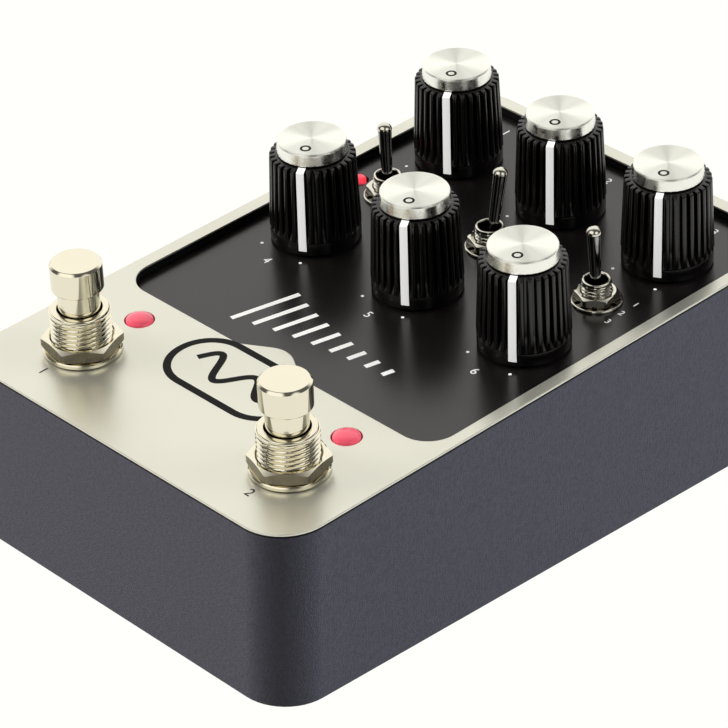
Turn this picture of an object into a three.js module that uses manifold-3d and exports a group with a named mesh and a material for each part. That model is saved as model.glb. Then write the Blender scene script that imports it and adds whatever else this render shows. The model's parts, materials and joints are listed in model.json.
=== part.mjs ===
// A delay pedal for the floor: a wedge-shaped metal case with a silver deck and a recessed control
// panel, six ribbed knobs, three bat toggles, two footswitches and a row of jacks on the rear wall.
// Millimetres, +Z up, front (footswitch side) towards -Y, origin on the floor under the middle.
import * as THREE from 'three';
import { mergeVertices } from 'three/addons/utils/BufferGeometryUtils.js';
import Module from 'manifold-3d';

const wasm = await Module();
wasm.setup();

// Driving dimensions of the case
const bodyWidth = 92;
const bodyDepth = 142.4;
const frontHeight = 38.2;
const rearHeight = 45.6;
const cornerRadius = 10;
const wall = 2.5;
const footHeight = 1.5;
const baseThickness = 1.5;
const jackReach = 3.2;

// Air left between two pieces that lie against each other, between small seated pieces, round a
// threaded bushing, and round the port
const gap = 0.3;
const seat = 0.1;
const bushingPlay = 0.2;
const clearance = 0.6;

// How far a joined piece is sunk into the one that carries it
const root = 0.2;

// Lengths that reach right through a wall or past the whole case
const through = 12;
const far = 100;

// The deck is the sloped top face. Its own frame has u across, v up the slope and h along its normal
const slope = Math.atan2(rearHeight - frontHeight, bodyDepth);
const deckLength = bodyDepth / Math.cos(slope);
const bodyY = -jackReach / 2;
const bodyBottom = footHeight;
const deckFrame = new THREE.Matrix4()
  .makeTranslation(0, bodyY, bodyBottom + (frontHeight + rearHeight) / 2)
  .multiply(new THREE.Matrix4().makeRotationX(slope));

// Layers of the deck, as heights h from the silver face
const plateThickness = 0.5;
const shellTop = -plateThickness - gap;
const panelTop = -2;
const panelThickness = 1;
const recessFloor = panelTop - panelThickness - gap;
const shellUnderRecess = 2.2;
const shellAtFront = 3;
const recessCeiling = recessFloor - shellUnderRecess;
const frontCeiling = shellTop - shellAtFront;
const boardTop = -12;
const boardThickness = 1.6;

// The recess: its edges in u and v, and the tab at the middle of its front edge
const recess = { left: -42.9, right: 43.3, front: -31.65, rear: 68.25, corner: 6.5 };
const tab = { baseHalf: 9, tipHalf: 1.6, height: 4.4 };

// Places on the deck
const columns = { left: -29.2, middle: 0, right: 29.2 };
const knobRows = { rear: 49.1, front: 8.25 };
const toggleV = 28.6;
const footswitchV = -53.5;
const lampV = -39.1;
const tempoLamp = { u: -38, v: 29 };

// Radii of the holes through the deck
const holes = { pot: 3.9, toggle: 3.3, footswitch: 6.3, lamp: 3, tempo: 1.8 };

// Screw bosses in the case's corners, measured from the middle of the case
const boss = { x: 39, y: 64.2, radius: 3.6, pilotRadius: 1.25, pilotDepth: 14 };

// The main board's outline: wide from its front edge to its waist, narrower between the rear bosses
const board = { front: -43.5, waist: 57, shoulder: 60, rear: 66.5, half: 42, rearHalf: 33 };

// Rubber feet, and the lenses of the lamps
const foot = { radius: 6.4, tread: 5.8, x: 33, y: 58 };
const lens = { radius: 2.75, rise: 1, dome: 1.2 };
const tempoLens = { radius: 1.5, rise: 1.6, dome: 1.2 };

// Knob, measured from the control panel's face
const knob = {
  bottom: 0.4, bandTop: 3.7, shoulder: 19.3, top: 19.6, capBottom: 19.9, capTop: 22.5,
  bandRadius: 8.95, baseRadius: 9.25, shoulderRadius: 8.6, topRadius: 7.2,
  ribs: 32, grooveDepth: 0.75, pointerWidth: 1.6, pointerAngle: 30,
};
const cap = { bottomRadius: 7.2, rimRadius: 6.9, faceRadius: 6.65, bevel: 0.35 };
const potShaft = { radius: 2.95, top: 15.7, bottom: -8 };
const potBushing = { radius: 3.5, bore: 3.15, top: 3.2 };
const potBody = { width: 9.8, depth: 11 };

// Toggle, as heights h and radii
const toggle = {
  bushingTop: 3.1, bushingRadius: 3, mouthRadius: 2.35, boreRadius: 1.95, pivot: -2.4, boreBottom: -4.6,
  tip: 14.8, tipRadius: 1.55, neckRadius: 0.9, ballRadius: 1.5,
  nutAcross: 8, nutHeight: 1.9, nutTurn: -21.4, washerRadius: 5.2, washerHeight: 0.5,
  bodyWidth: 8, bodyDepth: 12.6, lean: 10,
};

// Footswitch, as heights h and radii
const footswitch = {
  bushingRadius: 6, bushingTop: 9.8, boreRadius: 4.5, boreBottom: -9,
  nutAcross: 14, nutHeight: 2.2, nutTurn: { left: -9.5, right: -17.5 }, washerRadius: 7.7, washerHeight: 0.8,
  stemRadius: 4.2, stemBottom: -5, neckTop: 13.2, capLow: 14.8, capTop: 20.1, capRadius: 5.12, bevel: 0.45,
  bodySide: 15, bodyHeight: 16,
};

// Rear wall: places across and up from the case's bottom edge
const rear = {
  jackColumns: [-25.5, -8.5, 8.5, 25.5], jackHeight: 12.5,
  powerHeight: 25.1, portHeight: 28, portX: -17, buttonX: 17,
};
const jack = {
  width: 15.8, height: 12, depth: 23, bushingRadius: 4.7, boreRadius: 3.3, boreDepth: 20,
  nutAcross: 12.7, nutHeight: 2.1, nutTurn: 0, washerRadius: 7.1, washerHeight: 0.5,
};

// Sizes across and depths behind the wall's inner face
const power = {
  half: 4.5, halfHeight: 5.5, depth: 11, noseRadius: 4.2, boreRadius: 2.9, boreDepth: 8.5, pinRadius: 1.05,
};
const port = { half: 4.47, halfHeight: 1.63, sheet: 0.3, depth: 5.2, tongueHalf: 3.35, tongueThickness: 0.7 };
const button = {
  radius: 1.6, collarRadius: 2.6, collar: 0.8, reach: 0.8, travel: 0.7, switchHalf: 3, switchDepth: 3.9,
};
const jackBoard = { half: 33.4, depth: 24, setBack: 1.2 };

// Facets round a full circle on small, middling and large round pieces
const small = 12;
const middling = 16;
const large = 24;

// Materials
const finish = (color, roughness, metalness) =>
  new THREE.MeshStandardMaterial({ color, roughness, metalness });
const powderCoat = finish(0x45454d, 0.55, 0.2);
const silver = finish(0xd8d4c8, 0.35, 0.9);
const anthracite = finish(0x2e2c2b, 0.45, 0.3);
const blackPlastic = finish(0x131212, 0.35, 0);
const aluminium = finish(0xe2e2de, 0.25, 1);
const chrome = finish(0xd9d9d6, 0.12, 1);
const nickel = finish(0xe6dfcb, 0.15, 1);
const steel = finish(0xa8a8a4, 0.35, 1);
const boardGreen = finish(0x1f4a32, 0.5, 0);
const rubber = finish(0x1a1a1a, 0.9, 0);
const lampRed = finish(0xf25570, 0.25, 0);

// Turns a closed geometry into a solid that can be joined and cut
function solid(geometry, matrix = new THREE.Matrix4()) {
  const bare = geometry.clone().applyMatrix4(matrix);
  bare.deleteAttribute('normal');
  bare.deleteAttribute('uv');
  const merged = mergeVertices(bare, 1e-4);
  const corners = merged.index.array;
  const kept = [];
  for (let i = 0; i < corners.length; i += 3) {
    const [a, b, c] = corners.slice(i, i + 3);
    if (a !== b && b !== c && c !== a) kept.push(a, b, c);
  }
  const vertProperties = Float32Array.from(merged.attributes.position.array);
  return new wasm.Manifold(new wasm.Mesh({ numProp: 3, vertProperties, triVerts: Uint32Array.from(kept) }));
}

// Turns a solid back into a geometry
function geometryOf(body) {
  const mesh = body.getMesh();
  const geometry = new THREE.BufferGeometry();
  geometry.setAttribute('position', new THREE.BufferAttribute(mesh.vertProperties, 3));
  geometry.setIndex(new THREE.BufferAttribute(mesh.triVerts, 1));
  geometry.computeVertexNormals();
  return geometry;
}

// A shape in the XY plane, pulled up from height low to height high
function prism(shape, low, high, curveSegments = 4) {
  const options = { depth: high - low, bevelEnabled: false, curveSegments };
  return new THREE.ExtrudeGeometry(shape, options).translate(0, 0, low);
}

// A profile of [radius, height] pairs, turned about Z. The pairs run anticlockwise round the material
function revolve(profile, segments = large) {
  const points = profile.map(([radius, height]) => new THREE.Vector2(radius, height));
  return new THREE.LatheGeometry(points, segments).rotateX(Math.PI / 2);
}

// An upright cylinder between two heights
function rod(radius, low, high, segments = middling) {
  return revolve([[0, low], [radius, low], [radius, high], [0, high]], segments);
}

// A box between two corners
function block(low, high) {
  const size = high.map((value, axis) => value - low[axis]);
  const middle = high.map((value, axis) => (value + low[axis]) / 2);
  return new THREE.BoxGeometry(...size).translate(...middle);
}

function roundedRectangle(left, right, front, back, radius) {
  const shape = new THREE.Shape();
  shape.moveTo(left + radius, front);
  shape.absarc(right - radius, front + radius, radius, -Math.PI / 2, 0, false);
  shape.absarc(right - radius, back - radius, radius, 0, Math.PI / 2, false);
  shape.absarc(left + radius, back - radius, radius, Math.PI / 2, Math.PI, false);
  shape.absarc(left + radius, front + radius, radius, Math.PI, 1.5 * Math.PI, false);
  return shape;
}

// A regular polygon as an outline or, on a Path, as a round hole
function polygon(outline, x, y, radius, sides, turn = 0) {
  for (let side = 0; side < sides; side += 1) {
    const angle = turn + 2 * Math.PI * side / sides;
    const point = [x + radius * Math.cos(angle), y + radius * Math.sin(angle)];
    if (side === 0) outline.moveTo(...point);
    else outline.lineTo(...point);
  }
  outline.closePath();
  return outline;
}

const hexagon = (across, turn = 0) => polygon(new THREE.Shape(), 0, 0, across / Math.sqrt(3), 6, turn);
const roundHole = (x, y, radius, sides) => polygon(new THREE.Path(), x, y, radius, sides);

const at = (x, y, z) => new THREE.Matrix4().makeTranslation(x, y, z);
const onDeck = (u, v) => deckFrame.clone().multiply(at(u, v, 0));

// A frame on the rear wall: its Z axis points out of the wall, its X axis across and its Y axis up
const wallFace = bodyY + bodyDepth / 2;
const onRearWall = (x, height) =>
  at(x, wallFace, bodyBottom + height)
    .multiply(new THREE.Matrix4().makeRotationY(Math.PI))
    .multiply(new THREE.Matrix4().makeRotationX(-Math.PI / 2))
    .multiply(new THREE.Matrix4().makeRotationZ(Math.PI));

const pedal = new THREE.Group();
const deck = new THREE.Group();
deck.applyMatrix4(deckFrame);
pedal.add(deck);

function add(parent, name, geometry, material) {
  const mesh = new THREE.Mesh(geometry, material);
  mesh.name = name;
  parent.add(mesh);
  return mesh;
}

// The recess's outline, shrunk all round by an inset
function recessShape(inset) {
  const left = recess.left + inset;
  const right = recess.right - inset;
  const front = recess.front + inset;
  const back = recess.rear - inset;
  const radius = recess.corner - inset;
  const shape = new THREE.Shape();
  shape.moveTo(left + radius, front);
  shape.lineTo(-tab.baseHalf - inset, front);
  shape.lineTo(-tab.tipHalf - inset, front + tab.height);
  shape.lineTo(tab.tipHalf + inset, front + tab.height);
  shape.lineTo(tab.baseHalf + inset, front);
  shape.absarc(right - radius, front + radius, radius, -Math.PI / 2, 0, false);
  shape.absarc(right - radius, back - radius, radius, 0, Math.PI / 2, false);
  shape.absarc(left + radius, back - radius, radius, Math.PI / 2, Math.PI, false);
  shape.absarc(left + radius, front + radius, radius, Math.PI, 1.5 * Math.PI, false);
  return shape;
}

const knobPlaces = Object.entries(knobRows).flatMap(([row, v]) =>
  Object.entries(columns).map(([column, u]) => ({ name: `${row}_${column}`, u, v })));
const togglePlaces = Object.entries(columns).map(([name, u]) => ({ name, u, v: toggleV }));
const footswitchPlaces = ['left', 'right'].map((name) => ({ name, u: columns[name], v: footswitchV }));
const lampPlaces = ['left', 'right'].map((name) => ({ name, u: columns[name], v: lampV }));

// The wedge-shaped case, open underneath, with screw bosses in its corners
function enclosureGeometry() {
  const halfWidth = bodyWidth / 2;
  const halfDepth = bodyDepth / 2;
  const outline = roundedRectangle(-halfWidth, halfWidth, -halfDepth, halfDepth, cornerRadius);
  const innerWidth = halfWidth - wall;
  const innerDepth = halfDepth - wall;
  const inner = roundedRectangle(-innerWidth, innerWidth, -innerDepth, innerDepth, cornerRadius - wall);
  const toBody = at(0, bodyY, bodyBottom);
  const above = (h) => solid(block([-far, -far, h], [far, far, far]), deckFrame);
  const atFront = solid(block([-far, -far, -far], [far, recess.front - wall, far]), deckFrame);
  const corners = [[-1, -1], [-1, 1], [1, -1], [1, 1]].map(([x, y]) =>
    at(boss.x * x, bodyY + boss.y * y, bodyBottom));

  const hollow = solid(prism(inner, -wall, far), toBody);
  const frontRoom = hollow.intersect(atFront).subtract(above(frontCeiling));
  let room = hollow.subtract(above(recessCeiling)).add(frontRoom);
  for (const corner of corners) {
    room = room.subtract(solid(rod(boss.radius, baseThickness + gap, far), corner));
  }
  const body = solid(prism(outline, 0, far), toBody).subtract(above(shellTop)).subtract(room);
  const inDeck = (radius, sides) => ({ u, v }) => solid(rod(radius, -through, through, sides), onDeck(u, v));
  const inWall = (radius, x, height, sides) =>
    solid(rod(radius, -through, through, sides), onRearWall(x, height));
  const slot = roundedRectangle(
    -port.half - clearance, port.half + clearance, -port.halfHeight - clearance, port.halfHeight + clearance,
    port.halfHeight + clearance - 0.1);
  const cuts = [
    ...corners.map((corner) => solid(rod(boss.pilotRadius, 0, boss.pilotDepth, 8), corner)),
    solid(prism(recessShape(0), recessFloor, through), deckFrame),
    ...knobPlaces.map(inDeck(holes.pot, small)),
    ...togglePlaces.map(inDeck(holes.toggle, small)),
    ...footswitchPlaces.map(inDeck(holes.footswitch, middling)),
    ...lampPlaces.map(inDeck(holes.lamp, small)),
    inDeck(holes.tempo, small)(tempoLamp),
    ...rear.jackColumns.map((x) => inWall(jack.bushingRadius + bushingPlay, x, rear.jackHeight, middling)),
    inWall(power.noseRadius + gap, 0, rear.powerHeight, middling),
    solid(prism(slot, -through, through, 2), onRearWall(rear.portX, rear.portHeight)),
    inWall(button.radius + gap, rear.buttonX, rear.portHeight, small),
  ];
  return geometryOf(cuts.reduce((rest, cut) => rest.subtract(cut), body));
}

// The thin silver sheet on the deck
function topPlateGeometry() {
  const halfWidth = bodyWidth / 2;
  const half = deckLength / 2;
  const outline = roundedRectangle(-halfWidth, halfWidth, -half, half, cornerRadius);
  outline.holes.push(recessShape(0));
  for (const { u, v } of footswitchPlaces) outline.holes.push(roundHole(u, v, holes.footswitch, middling));
  for (const { u, v } of lampPlaces) outline.holes.push(roundHole(u, v, holes.lamp, small));
  return prism(outline, -plateThickness, 0);
}

// The dark sheet at the bottom of the recess
function controlPanelGeometry() {
  const outline = recessShape(gap);
  for (const { u, v } of knobPlaces) outline.holes.push(roundHole(u, v, holes.pot, small));
  for (const { u, v } of togglePlaces) outline.holes.push(roundHole(u, v, holes.toggle, small));
  outline.holes.push(roundHole(tempoLamp.u, tempoLamp.v, holes.tempo, small));
  return prism(outline, panelTop - panelThickness, panelTop);
}

function basePlateGeometry() {
  const halfWidth = bodyWidth / 2 - wall - gap;
  const halfDepth = bodyDepth / 2 - wall - gap;
  const outline = roundedRectangle(-halfWidth, halfWidth, -halfDepth, halfDepth, cornerRadius - wall - gap);
  return prism(outline, 0, baseThickness);
}

// The board under the deck, with its potentiometers
function mainBoardGeometry() {
  const rightSide = [
    [board.half, board.front], [board.half, board.waist],
    [board.rearHalf, board.shoulder], [board.rearHalf, board.rear],
  ];
  const leftSide = rightSide.map(([u, v]) => [-u, v]).reverse();
  const outline = new THREE.Shape([...rightSide, ...leftSide].map(([u, v]) => new THREE.Vector2(u, v)));
  let body = solid(prism(outline, boardTop - boardThickness, boardTop));
  const top = recessCeiling - gap;
  const shoulder = panelTop + potBushing.top;
  for (const { u, v } of knobPlaces) {
    const halfWidth = potBody.width / 2;
    const can = block([-halfWidth, -potBody.depth / 2, boardTop - root], [halfWidth, potBody.depth / 2, top]);
    const pot = solid(can).add(solid(rod(potBushing.radius, top - root, shoulder, small)));
    const bore = solid(rod(potBushing.bore, panelTop + potShaft.bottom - gap, shoulder + 1, small));
    body = body.add(pot.subtract(bore).translate([u, v, 0]));
  }
  return geometryOf(body);
}

// A closed skin over rings of points, each ring with the same number of points, with flat ends
function loft(rings) {
  const sides = rings[0].length;
  const middleOf = (ring) => [0, 0, ring[0][2]];
  const points = [...rings.flat(), middleOf(rings[0]), middleOf(rings[rings.length - 1])];
  const lowMiddle = points.length - 2;
  const highMiddle = points.length - 1;
  const lastRing = (rings.length - 1) * sides;
  const faces = [];
  for (let i = 0; i < sides; i += 1) {
    const next = (i + 1) % sides;
    faces.push(lowMiddle, next, i, highMiddle, lastRing + i, lastRing + next);
    for (let ring = 0; ring < lastRing; ring += sides) {
      faces.push(ring + i, ring + next, ring + sides + i);
      faces.push(ring + next, ring + sides + next, ring + sides + i);
    }
  }
  const geometry = new THREE.BufferGeometry();
  geometry.setAttribute('position', new THREE.Float32BufferAttribute(points.flat(), 3));
  return geometry.setIndex(faces);
}

// A ring of the knob's outline: crests with grooves between. The rib under the pointer is flat and wide
function ribbedRing(radius, depth, height) {
  const step = 2 * Math.PI / knob.ribs;
  const pointerHalf = knob.pointerWidth / 2 / radius;
  const ring = [];
  const place = (distance, turn) => {
    const angle = turn - Math.PI / 2;
    ring.push([distance * Math.cos(angle), distance * Math.sin(angle), height]);
  };
  place(radius, -pointerHalf);
  place(radius, pointerHalf);
  for (let rib = 1; rib < knob.ribs; rib += 1) {
    place(radius - depth, (rib - 0.42) * step);
    place(radius, rib * step);
  }
  place(radius - depth, -0.58 * step);
  return ring;
}

// The black body of a knob: a tapered ribbed barrel over a plain band, with a sloping shoulder on top
function knobBodyGeometry() {
  const barrel = loft([
    ribbedRing(knob.baseRadius, knob.grooveDepth, knob.bandTop),
    ribbedRing(knob.shoulderRadius, knob.grooveDepth, knob.shoulder),
    ribbedRing(knob.topRadius, 0, knob.top),
  ]);
  const neck = knob.baseRadius - knob.grooveDepth - 0.1;
  const band = revolve([
    [0, knob.bottom], [knob.bandRadius, knob.bottom], [knob.bandRadius, knob.bandTop - 0.4],
    [neck, knob.bandTop], [neck, knob.bandTop + root], [0, knob.bandTop + root],
  ], large);
  const pocket = { radius: 7.2, top: potBushing.top + 0.5 };
  const bore = potShaft.radius + gap;
  const hollow = revolve([
    [0, 0], [pocket.radius, 0], [pocket.radius, pocket.top], [bore, pocket.top],
    [bore, potShaft.top + gap], [0, potShaft.top + gap],
  ], small);
  return geometryOf(solid(barrel).add(solid(band)).subtract(solid(hollow)));
}

// The spun aluminium disc on top of a knob
function knobCapGeometry() {
  return revolve([
    [0, knob.capBottom], [cap.bottomRadius, knob.capBottom], [cap.rimRadius, knob.capTop - cap.bevel],
    [cap.faceRadius, knob.capTop], [0, knob.capTop],
  ], large);
}

function addKnobs() {
  const bodyShape = knobBodyGeometry();
  const capShape = knobCapGeometry();
  for (const { name, u, v } of knobPlaces) {
    const group = new THREE.Group();
    group.position.set(u, v, panelTop);
    group.rotation.z = THREE.MathUtils.degToRad(knob.pointerAngle);
    deck.add(group);
    add(group, `knob_body_${name}`, bodyShape, blackPlastic);
    add(group, `knob_cap_${name}`, capShape, aluminium);
    add(group, `pot_shaft_${name}`, rod(potShaft.radius, potShaft.bottom, potShaft.top, small), steel);
  }
}

// A hex nut standing on height zero, its upper corners turned off where crown is true
function nutGeometry(across, height, bore, turn, crown) {
  let nut = solid(prism(hexagon(across, turn), 0, height));
  if (crown) {
    nut = nut.intersect(solid(revolve([
      [0, -1], [across / 2 + 4, -1], [across / 2 - 0.1, height], [0, height],
    ], large)));
  }
  return nut.subtract(solid(rod(bore, -1, height + 1, crown ? middling : small)));
}

// The same nut on a round washer, as one piece
function washerNutGeometry({ nutAcross, nutHeight, nutTurn, washerRadius, washerHeight, bushingRadius }) {
  const bore = bushingRadius + bushingPlay;
  const sunk = washerHeight / 10;
  const turn = THREE.MathUtils.degToRad(nutTurn);
  const hex = nutGeometry(nutAcross, nutHeight + sunk, bore, turn, false);
  const nut = hex.translate([0, 0, washerHeight - sunk]);
  const washer = solid(rod(washerRadius, 0, washerHeight)).subtract(solid(rod(bore, -1, 5, small)));
  return geometryOf(nut.add(washer));
}

// A mini toggle switch: body and bushing, with the lever's seat open at the top
function toggleBodyGeometry() {
  const t = toggle;
  const top = recessCeiling - gap;
  const bottom = boardTop + gap;
  const can = block([-t.bodyWidth / 2, -t.bodyDepth / 2, bottom], [t.bodyWidth / 2, t.bodyDepth / 2, top]);
  const bushing = revolve([
    [0, top - root], [t.bushingRadius, top - root], [t.bushingRadius, t.bushingTop - 0.3],
    [t.bushingRadius - 0.3, t.bushingTop], [0, t.bushingTop],
  ], middling);
  const seatHole = revolve([
    [0, t.boreBottom], [t.boreRadius, t.boreBottom], [t.boreRadius, t.pivot],
    [t.mouthRadius, t.bushingTop], [t.mouthRadius, t.tip], [0, t.tip],
  ], middling);
  return geometryOf(solid(can).add(solid(bushing)).subtract(solid(seatHole)));
}

// The bat lever about its pivot: a ball, a thin neck and a handle that thickens to a round tip
function leverGeometry() {
  const t = toggle;
  const reach = t.tip - t.pivot;
  const round = 3;
  const points = [[0, -t.ballRadius]];
  for (let i = 1; i <= round; i += 1) {
    const angle = -Math.PI / 2 + i * 0.72 * Math.PI / round;
    points.push([t.ballRadius * Math.cos(angle), t.ballRadius * Math.sin(angle)]);
  }
  points.push([t.neckRadius + 0.05, 2.4]);
  points.push([t.tipRadius, reach - t.tipRadius]);
  for (let i = 1; i < round; i += 1) {
    const angle = i * Math.PI / 2 / round;
    points.push([t.tipRadius * Math.cos(angle), reach - t.tipRadius + t.tipRadius * Math.sin(angle)]);
  }
  points.push([0, reach]);
  return revolve(points, small);
}

function addToggles() {
  const leans = { left: 0, middle: -toggle.lean, right: 0 };
  for (const { name, u, v } of togglePlaces) {
    const group = new THREE.Group();
    group.position.set(u, v, 0);
    deck.add(group);
    add(group, `toggle_body_${name}`, toggleBodyGeometry(), steel);
    add(group, `toggle_nut_${name}`, washerNutGeometry(toggle), chrome).position.z = panelTop + seat;
    const lever = add(group, `toggle_lever_${name}`, leverGeometry(), chrome);
    lever.position.z = toggle.pivot;
    lever.rotation.x = THREE.MathUtils.degToRad(leans[name]);
  }
}

function footswitchBodyGeometry() {
  const f = footswitch;
  const top = frontCeiling - gap;
  const half = f.bodySide / 2;
  const can = block([-half, -half, top - f.bodyHeight], [half, half, top]);
  const bushing = revolve([
    [0, top - root], [f.bushingRadius, top - root], [f.bushingRadius, f.bushingTop - 0.4],
    [f.bushingRadius - 0.4, f.bushingTop], [0, f.bushingTop],
  ], large);
  const bore = rod(f.boreRadius, f.boreBottom, f.bushingTop + 1);
  return geometryOf(solid(can).add(solid(bushing)).subtract(solid(bore)));
}

// The plunger: a stem that flares to the round cap under the foot
function plungerGeometry() {
  const f = footswitch;
  return revolve([
    [0, f.stemBottom], [f.stemRadius, f.stemBottom], [f.stemRadius, f.neckTop], [f.capRadius, f.capLow],
    [f.capRadius, f.capTop - f.bevel], [f.capRadius - f.bevel, f.capTop], [0, f.capTop],
  ], large);
}

function addFootswitches() {
  const f = footswitch;
  for (const { name, u, v } of footswitchPlaces) {
    const group = new THREE.Group();
    group.position.set(u, v, 0);
    deck.add(group);
    add(group, `footswitch_body_${name}`, footswitchBodyGeometry(), nickel);
    const bore = f.bushingRadius + bushingPlay;
    const disc = solid(rod(f.washerRadius, seat, seat + f.washerHeight, large));
    const washer = geometryOf(disc.subtract(solid(rod(bore, -1, 3))));
    add(group, `footswitch_washer_${name}`, washer, nickel);
    const turn = THREE.MathUtils.degToRad(f.nutTurn[name]);
    const nut = geometryOf(nutGeometry(f.nutAcross, f.nutHeight, bore, turn, true));
    add(group, `footswitch_nut_${name}`, nut, nickel).position.z = 2 * seat + f.washerHeight;
    add(group, `footswitch_plunger_${name}`, plungerGeometry(), nickel);
  }
}

// A lamp: a round-topped lens on a wider flange that rests on the board. It rises above a height
function lampGeometry({ radius, rise, dome }, face) {
  const top = face + rise;
  const low = boardTop + gap;
  const flange = { radius: radius + 0.4, thickness: 1 };
  const steps = 3;
  const points = [
    [0, low], [flange.radius, low], [flange.radius, low + flange.thickness], [radius, low + flange.thickness],
    [radius, top - dome],
  ];
  for (let i = 1; i < steps; i += 1) {
    const angle = i * Math.PI / 2 / steps;
    points.push([radius * Math.cos(angle), top - dome + dome * Math.sin(angle)]);
  }
  points.push([0, top]);
  return revolve(points, small);
}

function addLamps() {
  for (const { name, u, v } of lampPlaces) {
    add(deck, `lamp_${name}`, lampGeometry(lens, 0), lampRed).position.set(u, v, 0);
  }
  const { u, v } = tempoLamp;
  add(deck, 'lamp_tempo', lampGeometry(tempoLens, panelTop), lampRed).position.set(u, v, 0);
}

// A jack socket lies behind the wall with its bushing through it. Its Z axis points out of the wall
function jackGeometry() {
  const { width, height, depth, bushingRadius, boreRadius, boreDepth } = jack;
  const can = block([-width / 2, -height / 2, -wall - depth], [width / 2, height / 2, -wall - gap]);
  const bushing = solid(rod(bushingRadius, -wall - gap - root, jackReach));
  const bore = solid(rod(boreRadius, -wall - boreDepth, jackReach + 1));
  return geometryOf(solid(can).add(bushing).subtract(bore));
}

// The power socket: a square body, a round nose in the wall and a thin pin in the middle of its bore
function powerSocketGeometry() {
  const p = power;
  const can = block([-p.half, -p.halfHeight, -wall - p.depth], [p.half, p.halfHeight, -wall - gap]);
  const nose = solid(rod(p.noseRadius, -wall - gap - root, -0.2));
  const bore = solid(rod(p.boreRadius, -wall - p.boreDepth, wall, small));
  const pin = solid(rod(p.pinRadius, -wall - p.boreDepth - root, -1.4, 8));
  return geometryOf(solid(can).add(nose).subtract(bore).add(pin));
}

// The port: a flat-sided metal tube, closed at the back, with a tongue inside
function portGeometry() {
  const p = port;
  const back = -wall - p.depth;
  const flat = (inset) => roundedRectangle(
    inset - p.half, p.half - inset, inset - p.halfHeight, p.halfHeight - inset, p.halfHeight - inset - 0.03);
  const shell = prism(flat(0), back, -0.4, 2);
  const mouth = prism(flat(p.sheet), back + 2 * p.sheet, wall, 2);
  const halfTongue = p.tongueThickness / 2;
  const tongue = block([-p.tongueHalf, -halfTongue, back + p.sheet], [p.tongueHalf, halfTongue, -1.2]);
  return geometryOf(solid(shell).subtract(solid(mouth)).add(solid(tongue)));
}

function addRearWall() {
  const place = (mesh, x, height) => mesh.applyMatrix4(onRearWall(x, height));
  const sides = ['outer_left', 'inner_left', 'inner_right', 'outer_right'];
  rear.jackColumns.forEach((x, index) => {
    place(add(pedal, `jack_${sides[index]}`, jackGeometry(), blackPlastic), x, rear.jackHeight);
    const nut = washerNutGeometry(jack).translate(0, 0, seat);
    place(add(pedal, `jack_nut_${sides[index]}`, nut, nickel), x, rear.jackHeight);
  });
  place(add(pedal, 'power_socket', powerSocketGeometry(), blackPlastic), 0, rear.powerHeight);
  place(add(pedal, 'usb_port', portGeometry(), steel), rear.portX, rear.portHeight);

  // The button's collar behind the wall keeps it in, and a small air gap under it is its travel
  const b = button;
  const collarTop = -wall - gap;
  const collarLow = collarTop - b.collar;
  const tip = revolve([
    [0, collarLow], [b.collarRadius, collarLow], [b.collarRadius, collarTop], [b.radius, collarTop],
    [b.radius, b.reach - 0.2], [b.radius - 0.2, b.reach], [0, b.reach],
  ], small);
  place(add(pedal, 'rear_button', tip, blackPlastic), rear.buttonX, rear.portHeight);
  const face = collarLow - b.travel;
  const low = [-b.switchHalf, -b.collarRadius, face - b.switchDepth];
  const housing = block(low, [b.switchHalf, b.collarRadius, face]);
  place(add(pedal, 'rear_button_switch', housing, steel), rear.buttonX, rear.portHeight);
}

// The board that carries the four jacks
function jackBoardGeometry() {
  const top = bodyBottom + rear.jackHeight - jack.height / 2 - gap;
  const { half, depth, setBack } = jackBoard;
  const back = wallFace - wall - setBack;
  return block([-half, back - depth, top - boardThickness], [half, back, top]);
}

function footGeometry() {
  const { radius, tread } = foot;
  return revolve([[0, 0], [tread, 0], [radius, 0.5], [radius, footHeight], [0, footHeight]], small);
}

add(pedal, 'enclosure', enclosureGeometry(), powderCoat);
add(deck, 'top_plate', topPlateGeometry(), silver);
add(deck, 'control_panel', controlPanelGeometry(), anthracite);
add(pedal, 'base_plate', basePlateGeometry(), powderCoat).position.set(0, bodyY, bodyBottom);
add(deck, 'main_board', mainBoardGeometry(), boardGreen);
add(pedal, 'jack_board', jackBoardGeometry(), boardGreen);
addKnobs();
addToggles();
addFootswitches();
addLamps();
addRearWall();
for (const [side, x] of [['left', -foot.x], ['right', foot.x]]) {
  for (const [end, y] of [['front', -foot.y], ['rear', foot.y]]) {
    add(pedal, `foot_${end}_${side}`, footGeometry(), rubber).position.set(x, bodyY + y, 0);
  }
}

export default pedal;
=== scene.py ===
# %% [markdown]
# # A delay pedal, dressed for the studio
# The solids of the pedal come from its CAD model, already at real size. This notebook keeps their
# places and gives every visible piece a fine surface and a finish. Each step first says what the
# piece is, how it could be made, and why one way was chosen.

# %% Load the CAD frame
import json
import math

import bmesh
import bpy
import numpy as np
from mathutils import Matrix, Vector
from mathutils.geometry import delaunay_2d_cdt


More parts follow.
